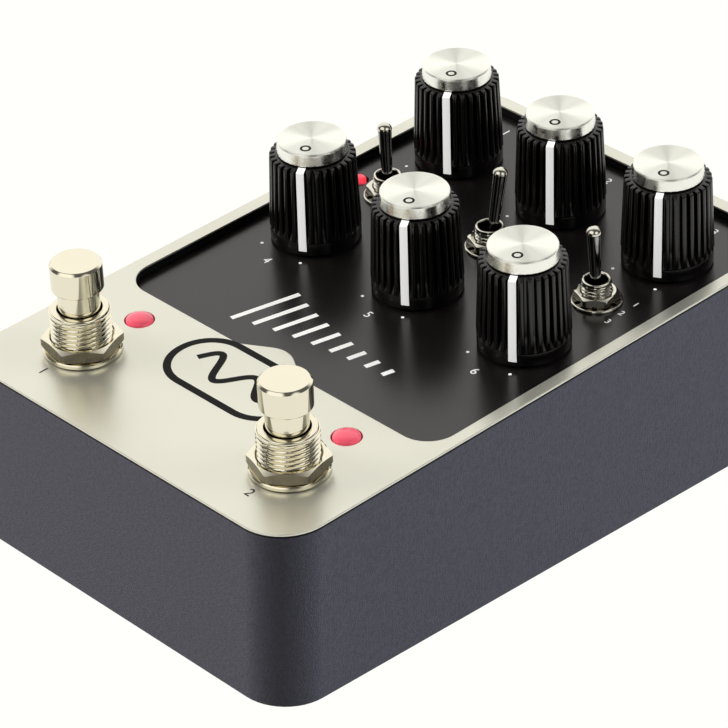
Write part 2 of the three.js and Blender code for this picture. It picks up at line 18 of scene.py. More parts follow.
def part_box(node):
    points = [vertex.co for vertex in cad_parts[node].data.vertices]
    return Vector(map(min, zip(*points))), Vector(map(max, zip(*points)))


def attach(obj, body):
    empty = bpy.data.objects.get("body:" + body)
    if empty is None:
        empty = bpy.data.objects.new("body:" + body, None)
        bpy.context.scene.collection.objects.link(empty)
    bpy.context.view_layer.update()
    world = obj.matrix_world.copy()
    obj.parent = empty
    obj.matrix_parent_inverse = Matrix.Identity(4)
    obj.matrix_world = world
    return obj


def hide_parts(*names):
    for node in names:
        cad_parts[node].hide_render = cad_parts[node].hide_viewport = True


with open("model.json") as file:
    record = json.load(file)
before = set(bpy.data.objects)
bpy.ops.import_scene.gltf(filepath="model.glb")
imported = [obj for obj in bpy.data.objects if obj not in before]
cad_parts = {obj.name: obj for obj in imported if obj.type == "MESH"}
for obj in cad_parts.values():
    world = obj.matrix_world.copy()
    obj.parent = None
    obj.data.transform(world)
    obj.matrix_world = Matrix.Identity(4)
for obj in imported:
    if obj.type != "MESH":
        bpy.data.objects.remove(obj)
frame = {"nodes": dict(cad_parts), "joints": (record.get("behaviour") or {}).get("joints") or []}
JOINTS = {joint["name"]: joint for joint in frame["joints"]}
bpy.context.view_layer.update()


def put(name, data):
    """Makes an object for some data and puts it in the scene."""
    made = bpy.data.objects.new(name, data)
    bpy.context.scene.collection.objects.link(made)
    return made


# %% [markdown]
# ## The camera
# A product photograph is taken from far away with a long lens, so that parallel edges stay nearly
# parallel. The camera could be aimed by eye, but its place was worked out from the case's edges, so
# here it is written as an azimuth, an elevation and a place in metres.

# %% Camera
CAMERA_PLACE = Vector((0.4594, -0.4515, 0.4240))
AZIMUTH = 46.01
ELEVATION = 31.66
ROLL = 0.10
LENS = 188.53


def compass(azimuth, elevation):
    """A direction from the origin: degrees round from the front to the right, and degrees up."""
    a, e = math.radians(azimuth), math.radians(elevation)
    return Vector((math.sin(a) * math.cos(e), -math.cos(a) * math.cos(e), math.sin(e)))


toward_camera = compass(AZIMUTH, ELEVATION)
camera = put("camera", bpy.data.cameras.new("camera"))
camera.data.lens = LENS
camera.data.sensor_width = 36
camera.data.clip_start = 0.01
camera.data.clip_end = 20
camera.rotation_mode = "QUATERNION"
camera.location = CAMERA_PLACE
level = (-toward_camera).to_track_quat("-Z", "Y")
camera.rotation_quaternion = level @ Matrix.Rotation(math.radians(ROLL), 4, "Z").to_quaternion()
bpy.context.scene.camera = camera
bpy.context.scene.view_settings.view_transform = "Standard"
print("camera looks along", [round(value, 3) for value in -toward_camera])

# %% [markdown]
# ## Frames to build in
# The deck of this pedal slopes, and its rear wall stands upright. Working in world coordinates would
# mean turning every shape by hand. Instead each shape is made flat, in millimetres, and a frame
# places it: three axes and an origin. The deck's axes are read from the knobs' turning axes, so they
# agree with the CAD model.

# %% Frames
MM = 0.001
COLUMNS = {"left": -29.2, "middle": 0.0, "right": 29.2}
KNOB_ROWS = {"rear": 49.1, "front": 8.25}
PANEL = -2.0
X = np.array([1.0, 0.0, 0.0])
Y = np.array([0.0, 1.0, 0.0])
UP = np.array([0.0, 0.0, 1.0])


def make_frame(origin, across, along, out):
    """Axes as columns and an origin, in millimetres: point = origin + axes times (a, b, c)."""
    return np.column_stack([across, along, out]), np.asarray(origin, float)


def placed(points, where):
    axes, origin = where
    return np.asarray(points, float) @ axes.T + origin


def spin(turn, tilt=0.0):
    """A turn about the third axis after a tilt about the first, both in degrees, as a matrix."""
    c, s = math.cos(math.radians(turn)), math.sin(math.radians(turn))
    k, n = math.cos(math.radians(tilt)), math.sin(math.radians(tilt))
    return np.array([[c, -s, 0], [s, c, 0], [0, 0, 1]]) @ np.array([[1, 0, 0], [0, k, -n], [0, n, k]])


middle_knob = JOINTS["turn_front_middle"]
deck_out = np.array(middle_knob["axis"])
deck_out /= np.linalg.norm(deck_out)
deck_along = np.cross(deck_out, X)
deck_origin = np.array(middle_knob["pos_m"]) / MM - KNOB_ROWS["front"] * deck_along - PANEL * deck_out
DECK = make_frame(deck_origin, X, deck_along, deck_out)


def deck_at(u, v, h=0.0, turn=0.0, tilt=0.0):
    """The deck's frame moved to (u, v, h), tilted about its first axis and turned about its normal."""
    return DECK[0] @ spin(turn, tilt), placed([u, v, h], DECK)


case_low, case_high = (np.array(corner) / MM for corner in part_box("enclosure"))
CASE_Y = (case_low[1] + case_high[1]) / 2
HALF_X = (case_high[0] - case_low[0]) / 2
HALF_Y = (case_high[1] - case_low[1]) / 2
BOTTOM = case_low[2]
REAR_FACE = CASE_Y + HALF_Y


def wall_at(x, height, out=0.0):
    """A frame on the rear wall: its third axis points out of the wall, and its second axis up."""
    return make_frame([x, REAR_FACE + out, BOTTOM + height], -X, UP, Y)


WORLD = make_frame([0, 0, 0], X, Y, UP)
UNDERSIDE = make_frame([0, CASE_Y, 0], X, -Y, -UP)
print(f"deck slopes {math.degrees(math.asin(deck_along[2])):.2f} degrees")
print(f"case is {2 * HALF_X:.1f} x {2 * HALF_Y:.1f} mm")

# %% [markdown]
# ## Meshes from formulas
# Most pieces here were turned, pressed or cut, so their surfaces are grids: rings of points stacked
# along a profile. One helper joins neighbouring rings into quads. Where a flat face has holes, a
# constrained triangulation fills it. A last helper welds the patches into one closed mesh and turns
# its faces outwards. Primitives and hand modelling could do the same, but a formula keeps every size.

# %% Grids and turned shapes


def grid(points):
    """A patch from an array of (rings, columns, 3): each quad joins rings i and i + 1, closed round."""
    rings, columns, _ = points.shape
    i = np.arange(rings - 1)[:, None] * columns
    j = np.arange(columns)[None, :]
    after = (j + 1) % columns
    faces = np.stack([i + j, i + after, i + columns + after, i + columns + j], axis=-1)
    return points.reshape(-1, 3), faces.reshape(-1, 4).tolist()


def turned(rows, columns=72):
    """Rings of (radius, height), each one number or one for every angle: (r cos t, r sin t, z)."""
    t = np.linspace(0, 2 * np.pi, columns, endpoint=False)
    radius = np.array([np.broadcast_to(row[0], columns) for row in rows], float)
    height = np.array([np.broadcast_to(row[1], columns) for row in rows], float)
    return grid(np.stack([radius * np.cos(t), radius * np.sin(t), height], axis=-1))


def thread(radius, depth, pitch, low, high, columns=72, per_turn=10):
    """Rows of a screw thread: radius less depth times a wave of (height / pitch - part of a turn)."""
    part = np.linspace(0, 1, columns, endpoint=False)
    height = np.linspace(low, high, int((high - low) / pitch * per_turn) + 1)
    phase = (height[:, None] / pitch - part) % 1
    wave = np.clip(1.35 * (1 - np.abs(2 * phase - 1)) - 0.12, 0, 1)
    fade = np.clip(np.minimum(height - low, high - height) / pitch * 1.6, 0, 1)[:, None]
    return list(zip(radius - depth * wave * fade, height))


# %% Flat shapes with holes


def inside(points, loops):
    """Even-odd test: a ray from a point inside crosses the loops' edges an odd number of times."""
    start = np.vstack(loops)
    end = np.vstack([np.roll(loop, -1, axis=0) for loop in loops])
    x, y = points[:, :1], points[:, 1:]
    spans = (start[:, 1] > y) != (end[:, 1] > y)
    rise = end[:, 1] - start[:, 1]
    rise = np.where(rise == 0, 1, rise)
    crossed = x < (end[:, 0] - start[:, 0]) * (y - start[:, 1]) / rise + start[:, 0]
    return (spans & crossed).sum(axis=1) % 2 == 1


def flat_patch(loops, height):
    """Triangles over a flat outline with holes: Delaunay triangles kept where their middle is inside."""
    sizes = [len(loop) for loop in loops]
    first = np.cumsum([0, *sizes[:-1]])
    edges = [(int(f + k), int(f + (k + 1) % n)) for f, n in zip(first, sizes) for k in range(n)]
    made = delaunay_2d_cdt([Vector(point) for point in np.vstack(loops)], edges, [], 0, 1e-7)
    corners = np.array([tuple(vertex) for vertex in made[0]])
    faces = np.array(made[2])
    kept = faces[inside(corners[faces].mean(axis=1), loops)]
    return np.column_stack([corners, np.full(len(corners), height)]), kept.tolist()


def around(x, y, radius, angle):
    """Points at angles round (x, y), at one radius or at one for every angle."""
    return np.column_stack([x + radius * np.cos(angle), y + radius * np.sin(angle)])


def circle(x, y, radius, count=48):
    return around(x, y, radius, np.linspace(0, 2 * np.pi, count, endpoint=False))


def rounded_rectangle(left, right, front, back, radius, steps=12):
    """Four corner arcs of 90 degrees, anticlockwise from the front right, joined by straight sides."""
    corners = [(right - radius, front + radius, -90), (right - radius, back - radius, 0),
               (left + radius, back - radius, 90), (left + radius, front + radius, 180)]
    return np.vstack([around(x, y, radius, np.radians(np.linspace(first, first + 90, steps + 1)))
                      for x, y, first in corners])


def block_outline(half_x, half_y, corner, steps=4):
    """A rounded rectangle about the origin, as a function of how far its edge is drawn in."""
    return lambda inset: rounded_rectangle(
        -half_x + inset, half_x - inset, -half_y + inset, half_y - inset, corner - inset, steps)


def rounding(size, steps=3):
    """A quarter round from a wall into a face: how far it is drawn in, and how far below the face."""
    if not size:
        return [(0.0, 0.0)]
    angle = np.linspace(0, np.pi / 2, steps + 1)
    return list(zip(size * (1 - np.cos(angle)), size * (1 - np.sin(angle))))


def lifted(loop, height):
    return np.column_stack([loop, np.full(len(loop), height)])


def plate(outline, holes, low, high, edge=0.0):
    """A flat sheet with holes. outline and holes are functions of how far their edge is drawn in.

    Each edge is a stack of rings: up from the lower face, then round the edge into the upper face.
    """
    patches = []
    shapes = [outline, *holes]
    steps = rounding(edge)
    for shape in shapes:
        rings = [lifted(shape(0), low)] + [lifted(shape(inset), high - drop) for inset, drop in steps]
        patches.append(grid(np.array(rings)))
    patches.append(flat_patch([shape(0) for shape in shapes], low))
    patches.append(flat_patch([shape(edge) for shape in shapes], high))
    return patches


def hole(x, y, radius, count=48):
    """A round hole for plate(): it grows where the plate's edge is drawn in."""
    return lambda inset: circle(x, y, radius + inset, count)


def prism(outline, low, high):
    """A closed block over an outline, between two heights."""
    return plate(lambda inset: outline, [], low, high)


def flared(outline, low, face, flare=0.2):
    """A cutter with a wider mouth at a face, so that the hole it leaves has a soft edge."""
    steps = [(0, low), (0, face - flare), (flare * 0.3, face - flare / 3), (flare, face + 0.01),
             (flare, face + 1)]
    rings = [lifted(outline(grow), height) for grow, height in steps]
    return [grid(np.array(rings)), flat_patch([outline(0)], low), flat_patch([outline(flare)], face + 1)]


def ribbon(path, width, low, high):
    """A flat line of even width: at each point of the path, a step to both sides across its direction."""
    path = np.asarray(path, float)
    along = np.gradient(path, axis=0)
    along /= np.linalg.norm(along, axis=1)[:, None]
    side = np.column_stack([-along[:, 1], along[:, 0]]) * width / 2
    left, right = path + side, path - side
    edges = [(left, low), (right, low), (right, high), (left, high)]
    ring = np.stack([lifted(loop, height) for loop, height in edges], axis=1)
    return [grid(ring), (ring[0], [[0, 1, 2, 3]]), (ring[-1], [[0, 1, 2, 3]])]


# %% Welding, cutting and placing


def cleaned(mesh, merge, shortest=0.0):
    """Merges points closer than merge, removes edges up to shortest, turns faces out. All in metres."""
    work = bmesh.new()
    work.from_mesh(mesh)
    bmesh.ops.remove_doubles(work, verts=work.verts, dist=merge)
    if shortest:
        bmesh.ops.dissolve_degenerate(work, edges=work.edges, dist=shortest)
    bmesh.ops.recalc_face_normals(work, faces=work.faces)
    work.to_mesh(mesh)
    work.free()
    return mesh


def weld(patches, where=WORLD):
    """Joins patches of (points, faces) into one mesh in metres, merges doubles, turns faces out."""
    points, faces, start = [], [], 0
    for patch_points, patch_faces in patches:
        points.append(placed(patch_points, where) * MM)
        faces += [[corner + start for corner in face] for face in patch_faces]
        start += len(patch_points)
    mesh = bpy.data.meshes.new("shape")
    mesh.from_pydata(np.vstack(points).tolist(), [], faces)
    return cleaned(mesh, 2e-7, 1e-8)


def lathe(rows, columns=72, box=()):
    """A turned shape as one closed mesh, with the patches of a box beside it."""
    return weld([turned(rows, columns), *box])


def evaluated(source):
    """A new mesh from an object, with its modifiers applied or its text filled."""
    bpy.context.view_layer.update()
    return bpy.data.meshes.new_from_object(source.evaluated_get(bpy.context.evaluated_depsgraph_get()))


def cut(mesh, *cutters):
    """Cuts closed meshes out of a closed mesh with Blender's exact boolean, and returns the rest."""
    target = put("target", mesh)
    helpers = [put("cutter", cutter) for cutter in cutters]
    for helper in helpers:
        modifier = target.modifiers.new("cut", "BOOLEAN")
        modifier.operation = "DIFFERENCE"
        modifier.solver = "EXACT"
        modifier.object = helper
    rest = evaluated(target)
    for used in [target, *helpers]:
        bpy.data.objects.remove(used)
    return rest


def piece(name, mesh, material, replaces=(), where=None, body="housing", sharp=32):
    """Puts a mesh in the scene as a piece that rides on a CAD body.

    With where, the mesh is a copy in that frame. Flat faces keep flat shading beside rounded edges,
    because a large face weighs more in a corner's normal than a small one.
    """
    if where is not None:
        axes, origin = where
        matrix = Matrix(axes.tolist()).to_4x4()
        matrix.translation = Vector(origin * MM)
        mesh = mesh.copy()
        mesh.transform(matrix)
    mesh.name = name
    mesh.polygons.foreach_set("use_smooth", np.ones(len(mesh.polygons), bool))
    mesh.set_sharp_from_angle(angle=math.radians(sharp))
    if not mesh.materials:
        mesh.materials.append(material)
    made = put(name, mesh)
    normals = made.modifiers.new("flat faces stay flat", "WEIGHTED_NORMAL")
    normals.keep_sharp = True
    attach(made, body)
    if replaces:
        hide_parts(*replaces)


def read(items, what, kind=float):
    """One property of each of a mesh's items as an array. Numbers of kind float come in threes."""
    values = np.empty(len(items) * (3 if kind is float else 1), kind)
    items.foreach_get(what, values)
    return values.reshape(-1, 3) if kind is float else values


def face_middles(mesh):
    """The middle of each face, in millimetres."""
    return read(mesh.polygons, "center") / MM


def off_axis(mesh):
    """How far the middle of each face is from the third axis, in millimetres."""
    x, y, _ = face_middles(mesh).T
    return np.hypot(x, y)


def two_finishes(mesh, first, second, chosen):
    """Gives a mesh its first finish, and the second one on its chosen faces."""
    mesh.materials.clear()
    mesh.materials.append(first)
    mesh.materials.append(second)
    mesh.polygons.foreach_set("material_index", chosen.astype(np.int32))


print("helpers ready")

# %% [markdown]
# ## Finishes
# Each finish is one Principled BSDF with small procedural changes: a fine grain in the bump, and a
# slow drift in colour and roughness. An image could hold these, but noise in object coordinates has
# no seams and no resolution, and it stays with the piece when it moves.

# %% Finish helpers


def linear(red, green, blue):
    """A screen colour, 0 to 255, as the linear colour that shaders use."""
    value = np.array([red, green, blue]) / 255
    straight = np.where(value <= 0.04045, value / 12.92, ((value + 0.055) / 1.055) ** 2.4)
    return (*straight.tolist(), 1.0)


def shade(color, factor):
    return (*[min(1.0, channel * factor) for channel in color[:3]], 1.0)


DRIFT_ENDS = (0.3, 0.7)


def wire(tree, node, inputs):
    """Gives each of a node's inputs, by name or number, its value, or a link to another node's output."""
    for socket, value in inputs.items():
        if isinstance(value, bpy.types.NodeSocket):
            tree.links.new(value, node.inputs[socket])
        else:
            node.inputs[socket].default_value = value


def add_node(tree, kind, inputs=None, **settings):
    """Adds a shader node with its own settings, and wires its inputs."""
    node = tree.nodes.new(kind)
    for name, value in settings.items():
        setattr(node, name, value)
    wire(tree, node, inputs or {})
    return node


def combined(tree, operation, first, second, **settings):
    """The output of a math node on two numbers."""
    node = add_node(tree, "ShaderNodeMath", {0: first, 1: second}, operation=operation, **settings)
    return node.outputs[0]


def finish(name, color, roughness, metallic=0.0, grain=0.0, grain_size=0.3, drift=0.1, drift_size=12.0,
           uneven=0.05, **sockets):
    """A Principled finish with grain in the bump and a slow drift in colour and roughness.

    color is a screen colour. grain is the bump's height, grain_size and drift_size are the sizes of the
    two patterns, all in millimetres. Further sockets are set by name.
    """
    material = bpy.data.materials.new(name)
    material.use_nodes = True
    tree = material.node_tree
    place = add_node(tree, "ShaderNodeTexCoord").outputs["Object"]

    def noise(size, detail):
        return add_node(tree, "ShaderNodeTexNoise", {
            "Scale": 1 / (size * MM), "Detail": detail, "Vector": place}).outputs["Fac"]

    slow = noise(drift_size, 4)
    tint = add_node(tree, "ShaderNodeValToRGB", {"Fac": slow})
    for stop, end, factor in zip(tint.color_ramp.elements, DRIFT_ENDS, (1 - drift, 1 + drift)):
        stop.position = end
        stop.color = shade(linear(*color), factor)
    polish = add_node(tree, "ShaderNodeMapRange", {
        "From Min": DRIFT_ENDS[0], "From Max": DRIFT_ENDS[1], "To Min": max(0.02, roughness - uneven),
        "To Max": roughness + uneven, "Value": slow})
    inputs = {socket.replace("_", " "): value for socket, value in sockets.items()}
    inputs.update({"Metallic": metallic, "Base Color": tint.outputs["Color"],
                   "Roughness": polish.outputs["Result"]})
    if grain:
        inputs["Normal"] = add_node(tree, "ShaderNodeBump", {
            "Strength": 1, "Distance": grain * MM, "Height": noise(grain_size, 3)}).outputs["Normal"]
    wire(tree, tree.nodes["Principled BSDF"], inputs)
    return material


POWDER = finish("powder coat", (88, 87, 97), 0.55, grain=0.16, drift=0.17, drift_size=0.8,
                Specular_IOR_Level=0.15)
RECESS_BLACK = finish("black recess walls", (16, 15, 17), 0.4, grain=0.03, grain_size=0.4, drift=0.15)
SILVER = finish("satin silver", (226, 224, 210), 0.33, metallic=0.75, grain=0.006, grain_size=0.25,
                drift=0.015, drift_size=18)
ANTHRACITE = finish("satin anthracite", (24, 20, 20), 0.24, grain=0.008, uneven=0.02, Specular_IOR_Level=0.6)
KNOB_BLACK = finish("moulded black", (11, 8, 8), 0.24, grain=0.003, grain_size=0.5, drift=0.2)
# White paint with a painted glow: the emission is painted light, the stripe is no lamp.
POINTER_WHITE_GLOW = finish("pointer white with painted glow", (246, 246, 244), 0.45, grain=0.004, grain_size=0.4, drift=0.02,
                       Emission_Strength=0.5, Emission_Color=linear(255, 255, 252))
NICKEL = finish("polished nickel", (231, 225, 204), 0.09, metallic=1, drift=0.02, uneven=0.03)
# Rougher nickel for the nuts' sides; its darker colour is painted shade, for the dim deck they face.
DULL_NICKEL_PAINTED_SHADE = finish("dull nickel with painted shade", (146, 139, 122), 0.3, metallic=1, grain=0.006, grain_size=0.25,
                       drift=0.12, drift_size=1.5)
CHROME = finish("polished chrome", (216, 212, 199), 0.08, metallic=1, drift=0.02, uneven=0.03)
# Chrome painted darker for the levers' handles: painted shade, standing in for a dark room reflected.
CHROME_PAINTED_SHADE = finish("chrome with painted shade", (160, 160, 160), 0.07, metallic=1, drift=0.02, uneven=0.02)
SATIN_RIM = finish("satin aluminium", (246, 246, 238), 0.27, metallic=1, drift=0.05, drift_size=1.5,
                   uneven=0.1)
# A darker steel for the toggle washer's inner part round the nut: painted shade.
STEEL_PAINTED_SHADE = finish("steel in painted shade", (104, 99, 90), 0.28, metallic=1, grain=0.01, drift=0.12, drift_size=2)
STEEL = finish("plated steel", (186, 186, 182), 0.32, metallic=1, grain=0.004, drift=0.06)
BOARD = finish("circuit board", (24, 74, 48), 0.4, grain=0.01, grain_size=0.8, drift=0.15)
RUBBER = finish("black rubber", (26, 26, 26), 0.8, grain=0.02)
SOCKET_BLACK = finish("socket plastic", (20, 20, 21), 0.4, grain=0.01, grain_size=0.4)
# White print with a painted glow: its emission is painted light, though print gives none.
PRINT_WHITE_GLOW = finish("white print with painted glow", (244, 244, 240), 0.5, grain=0.003, drift=0.03, Emission_Strength=0.3,
                     Emission_Color=linear(255, 255, 250))
# Black print; the same black also serves the film under the silver sheet, as painted shade.
PRINT_AND_SHADE_BLACK = finish("black print and painted shade", (16, 16, 16), 0.5, grain=0.003, Specular_IOR_Level=0.1)
LENS_RED = finish("lit red lens", (226, 84, 104), 0.25, drift=0.05, drift_size=2, Coat_Weight=0.3,
                  Emission_Strength=0.3, Emission_Color=linear(255, 90, 114))
TEMPO_RED = finish("bright red lens", (235, 60, 80), 0.25, drift=0.05, drift_size=1, Coat_Weight=0.3,
                   Emission_Strength=0.75, Emission_Color=linear(255, 66, 84))
print(len(bpy.data.materials), "materials")

# %% [markdown]
# ### Spun aluminium
# The caps were turned on a lathe, which leaves fine grooves round their middle. Light spreads across
# the grooves and not along them, so bright fans appear. Real grooves would be far too fine for a
# mesh, so the shader is made anisotropic. Its tangent follows a UV map whose first coordinate is the
# distance from the middle, so it points outwards everywhere on the cap.

# %% Spun aluminium
SPUN = finish("spun aluminium", (252, 252, 243), 0.42, metallic=1, drift=0.015, uneven=0.02,
              Anisotropic=0.95)
tree = SPUN.node_tree
tangent = add_node(tree, "ShaderNodeTangent", direction_type="UV_MAP", uv_map="spun").outputs["Tangent"]
wire(tree, tree.nodes["Principled BSDF"], {"Tangent": tangent})


def spun_uv(mesh):
    """Adds a UV map to a piece turned about its third axis: distance from the axis, then part of a turn."""
    corners = read(mesh.loops, "vertex_index", int)
    x, y = read(mesh.vertices, "co")[corners, :2].T / MM
    radius, part = np.hypot(x, y), np.arctan2(y, x) / (2 * np.pi)
    size = read(mesh.polygons, "loop_total", int)
    starts = np.cumsum([0, *size[:-1]])
    widest = np.repeat(np.maximum.reduceat(part, starts) - np.minimum.reduceat(part, starts), size)
    part = np.where((widest > 0.5) & (part < 0), part + 1, part)
    middle = radius < 1e-3
    outer = np.add.reduceat(np.where(middle, 0, part), starts) / np.maximum(
        np.add.reduceat(np.where(middle, 0, 1), starts), 1)
    part = np.where(middle, np.repeat(outer, size), part)
    layer = mesh.uv_layers.new(name="spun")
    layer.data.foreach_set("uv", np.column_stack([radius / 10, part]).astype(np.float32).ravel())


# %% [markdown]
# ## The case
# The real case is cast in aluminium and powder coated: upright walls with round corners, a sloping
# top, and a shallow recess for the control panel. A box with bevelled edges would do from afar, but
# the recess and the sockets need true cut-outs. So the outer form is a stack of rings whose top ring
# lies on the sloping plane, and the room inside, the recess and the holes are cut out of it.

# %% Sizes of the case
WALL = 2.5
CORNER = 10.0
SHELL_TOP = -0.88
RECESS_FLOOR = -3.3
RECESS_CEILING = -5.5
FRONT_CEILING = -3.8
RECESS = {"left": -42.9, "right": 43.3, "front": -31.65, "rear": 68.25, "corner": 6.5}
TAB = {"base": 9.0, "tip": 1.6, "height": 4.4, "soft": 1.4}
BOSS = {"x": 39.0, "y": 64.2, "radius": 3.6, "pilot": 1.25, "start": 1.8, "screw_depth": 14}
ABOVE_ALL = 90
FRONT_ROOM = {"half_width": 35, "floor": 9, "corner": 2}
MOUTHS = {"jack": 4.9, "power": 4.5, "button": 1.9}
PORT_MOUTH = block_outline(5.07, 2.23, 2.13, 8)
FOOTSWITCH_V = -53.5
LAMP_V = -39.1
TOGGLE_V = 28.6
TEMPO = (-38.0, 29.0)
TEMPO_LENS = (-38.1, 28.8)
HOLES = {"pot": 3.9, "toggle": 3.3, "footswitch": 6.3, "lamp": 3.0, "tempo": 1.8}
JACKS = {"outer_left": -25.5, "inner_left": -8.5, "inner_right": 8.5, "outer_right": 25.5}
JACK_HEIGHT = 12.5
POWER_HEIGHT = 25.1
PORT_HEIGHT = 28.0
PORT_X = -17.0
BUTTON_X = 17.0
KNOBS = {f"{row}_{column}": (u, v) for row, v in KNOB_ROWS.items() for column, u in COLUMNS.items()}
PEDALS = {side: COLUMNS[side] for side in ("left", "right")}
DECK_PLACES = {
    "pot": list(KNOBS.values()),
    "toggle": [(u, TOGGLE_V) for u in COLUMNS.values()],
    "footswitch": [(u, FOOTSWITCH_V) for u in PEDALS.values()],
    "lamp": [(u, LAMP_V) for u in PEDALS.values()],
    "tempo": [TEMPO],
}


def case_outline(inset):
    return rounded_rectangle(-HALF_X + inset, HALF_X - inset, CASE_Y - HALF_Y + inset, REAR_FACE - inset,
                             CORNER - inset)


def softened(before, corner, after, reach, steps=5):
    """A corner between two straight sides, drawn as a quadratic curve from one side to the other."""
    before, corner, after = (np.array(point, float) for point in (before, corner, after))
    start = corner + (before - corner) / np.linalg.norm(before - corner) * reach
    end = corner + (after - corner) / np.linalg.norm(after - corner) * reach
    t = np.linspace(0, 1, steps)[:, None]
    return (1 - t) ** 2 * start + 2 * t * (1 - t) * corner + t ** 2 * end


def recess_outline(inset):
    """The recess from above: a rounded rectangle whose front edge steps back round a tab."""
    left, right = RECESS["left"] + inset, RECESS["right"] - inset
    front, back = RECESS["front"] + inset, RECESS["rear"] - inset
    whole = rounded_rectangle(left, right, front, back, RECESS["corner"] - inset)
    base, tip = TAB["base"] + inset, TAB["tip"] + inset
    stops = [(left, front), (-base, front), (-tip, front + TAB["height"]), (tip, front + TAB["height"]),
             (base, front), (right, front)]
    bends = [softened(stops[k], stops[k + 1], stops[k + 2], TAB["soft"]) for k in range(4)]
    return np.vstack([whole, *bends])


# %% Case


def sloping_block(outline, low, plane, edge=0.0):
    """A block with upright walls, level below and on the deck's slope above.

    A top point (x, y) gets the height z at which (point - deck origin) . normal is plane.
    """
    rings = []
    steps = rounding(edge)
    for inset, rise in reversed(steps):
        rings.append(lifted(outline(inset), low + rise))
    for inset, drop in steps:
        loop = outline(inset)
        height = deck_origin[2] + (plane - (loop[:, 1] - deck_origin[1]) * deck_out[1]) / deck_out[2]
        rings.append(np.column_stack([loop, height - drop]))
    whole = [list(range(len(rings[0])))]
    return [grid(np.array(rings)), (rings[0], whole), (rings[-1], whole)]


front_line = placed([0, RECESS["front"] - WALL, FRONT_CEILING], DECK)[1]
front_edge = CASE_Y - HALF_Y + WALL
corners = [(x * BOSS["x"], y * BOSS["y"]) for x in (-1, 1) for y in (-1, 1)]


def posts(radius, low, high, count=48):
    """Four upright cylinders in the case's corners, as one mesh."""
    return weld([patch for x, y in corners
                 for patch in prism(circle(x, CASE_Y + y, radius, count), low, high)])


room = cut(weld(sloping_block(lambda inset: case_outline(WALL), BOTTOM - 1, RECESS_CEILING)),
           posts(BOSS["radius"], BOTTOM + BOSS["start"], ABOVE_ALL))
front_room = weld(sloping_block(
    lambda inset: rounded_rectangle(
        -FRONT_ROOM["half_width"], FRONT_ROOM["half_width"], front_edge, front_line, FRONT_ROOM["corner"]),
    BOTTOM + FRONT_ROOM["floor"], FRONT_CEILING))

deck_bores = [patch for kind, places in DECK_PLACES.items() for u, v in places
              for patch in prism(circle(u, v, HOLES[kind]), RECESS_CEILING - 1, 1)]
mouths = [(x, JACK_HEIGHT, hole(0, 0, MOUTHS["jack"])) for x in JACKS.values()]
mouths.append((0, POWER_HEIGHT, hole(0, 0, MOUTHS["power"], 64)))
mouths.append((BUTTON_X, PORT_HEIGHT, hole(0, 0, MOUTHS["button"])))
mouths.append((PORT_X, PORT_HEIGHT, lambda grow: PORT_MOUTH(-grow)))
wall_bores = [(placed(points, wall_at(x, height)), faces) for x, height, mouth in mouths
              for points, faces in flared(mouth, -WALL - 1, 0)]

shell = cut(
    weld(sloping_block(case_outline, BOTTOM, SHELL_TOP, edge=0.2)),
    room,
    front_room,
    posts(BOSS["pilot"], BOTTOM, BOTTOM + BOSS["screw_depth"], 24),
    weld(prism(recess_outline(0), RECESS_FLOOR, 3), DECK),
    weld(deck_bores, DECK),
    weld(wall_bores))
# The faces in the recess get a black finish in place of the powder coat.
local = (face_middles(shell) - DECK[1]) @ DECK[0]
in_recess = inside(local[:, :2], [recess_outline(-0.05)]) & (local[:, 2] > RECESS_FLOOR - 0.1)
two_finishes(shell, POWDER, RECESS_BLACK, in_recess)
print("case has", len(shell.polygons), "faces,", int(in_recess.sum()), "of them in the recess")
piece("case", shell, POWDER, ["enclosure"], sharp=38)

# %% [markdown]
# ## Deck sheet and control panel
# A thin silver sheet lies on the case, and a dark one lies in the recess. Both were punched from
# sheet, so each is an outline with round holes and a hair of rounding at its upper edges. The
# rounding is small but it matters: it catches the light and draws the fine bright line. A black film
# under the silver sheet, drawn in a little, is painted shade: it draws the dark line between sheet
# and case, where the shade of the gap falls.

# %% Deck sheet and control panel
SHEET = 0.38
half_deck = HALF_Y / deck_out[2]
round_holes = [hole(u, v, HOLES[kind]) for u in PEDALS.values()
               for kind, v in (("footswitch", FOOTSWITCH_V), ("lamp", LAMP_V))]
deck_holes = [lambda inset: recess_outline(-inset), *round_holes]
sheet = weld(plate(block_outline(HALF_X, half_deck, CORNER, 12), deck_holes, -SHEET, 0, edge=0.12), DECK)
piece("deck_sheet", sheet, SILVER, ["top_plate"])

# The film is painted shade: a black sheet in the gap under the silver sheet, where only shade falls.
FILM_INSET = 0.1
FILM_WINDOW = 0.2
FILM_GAP = 0.02
film = weld(plate(block_outline(HALF_X - FILM_INSET, half_deck - FILM_INSET, CORNER - FILM_INSET, 12),
                  [lambda inset: recess_outline(-FILM_WINDOW), *round_holes],
                  SHELL_TOP + FILM_GAP, -SHEET - FILM_GAP), DECK)
piece("painted_shade_film", film, PRINT_AND_SHADE_BLACK)

PANEL_GAP = 0.3
PANEL_SHEET = 1.0
panel_holes = [hole(u, v, HOLES[kind]) for kind in ("pot", "toggle", "tempo") for u, v in DECK_PLACES[kind]]
panel = weld(plate(lambda inset: recess_outline(PANEL_GAP + inset), panel_holes, PANEL - PANEL_SHEET, PANEL,
                   edge=0.1), DECK)
piece("panel_sheet", panel, ANTHRACITE, ["control_panel"])
print("sheets have", len(sheet.polygons), "and", len(panel.polygons), "faces")

# %% [markdown]
# ## Knobs
# A knob is moulded in black plastic: 32 ribs round a tapering barrel, a plain band below, and a
# sloping shoulder that the grooves break through. Ribs could be copied boxes, but the mould has one
# surface, so the knob is one too: its radius is a function of angle and height. It is the smaller of
# the turned outline and the groove's floor, which leaves the shoulder castellated.

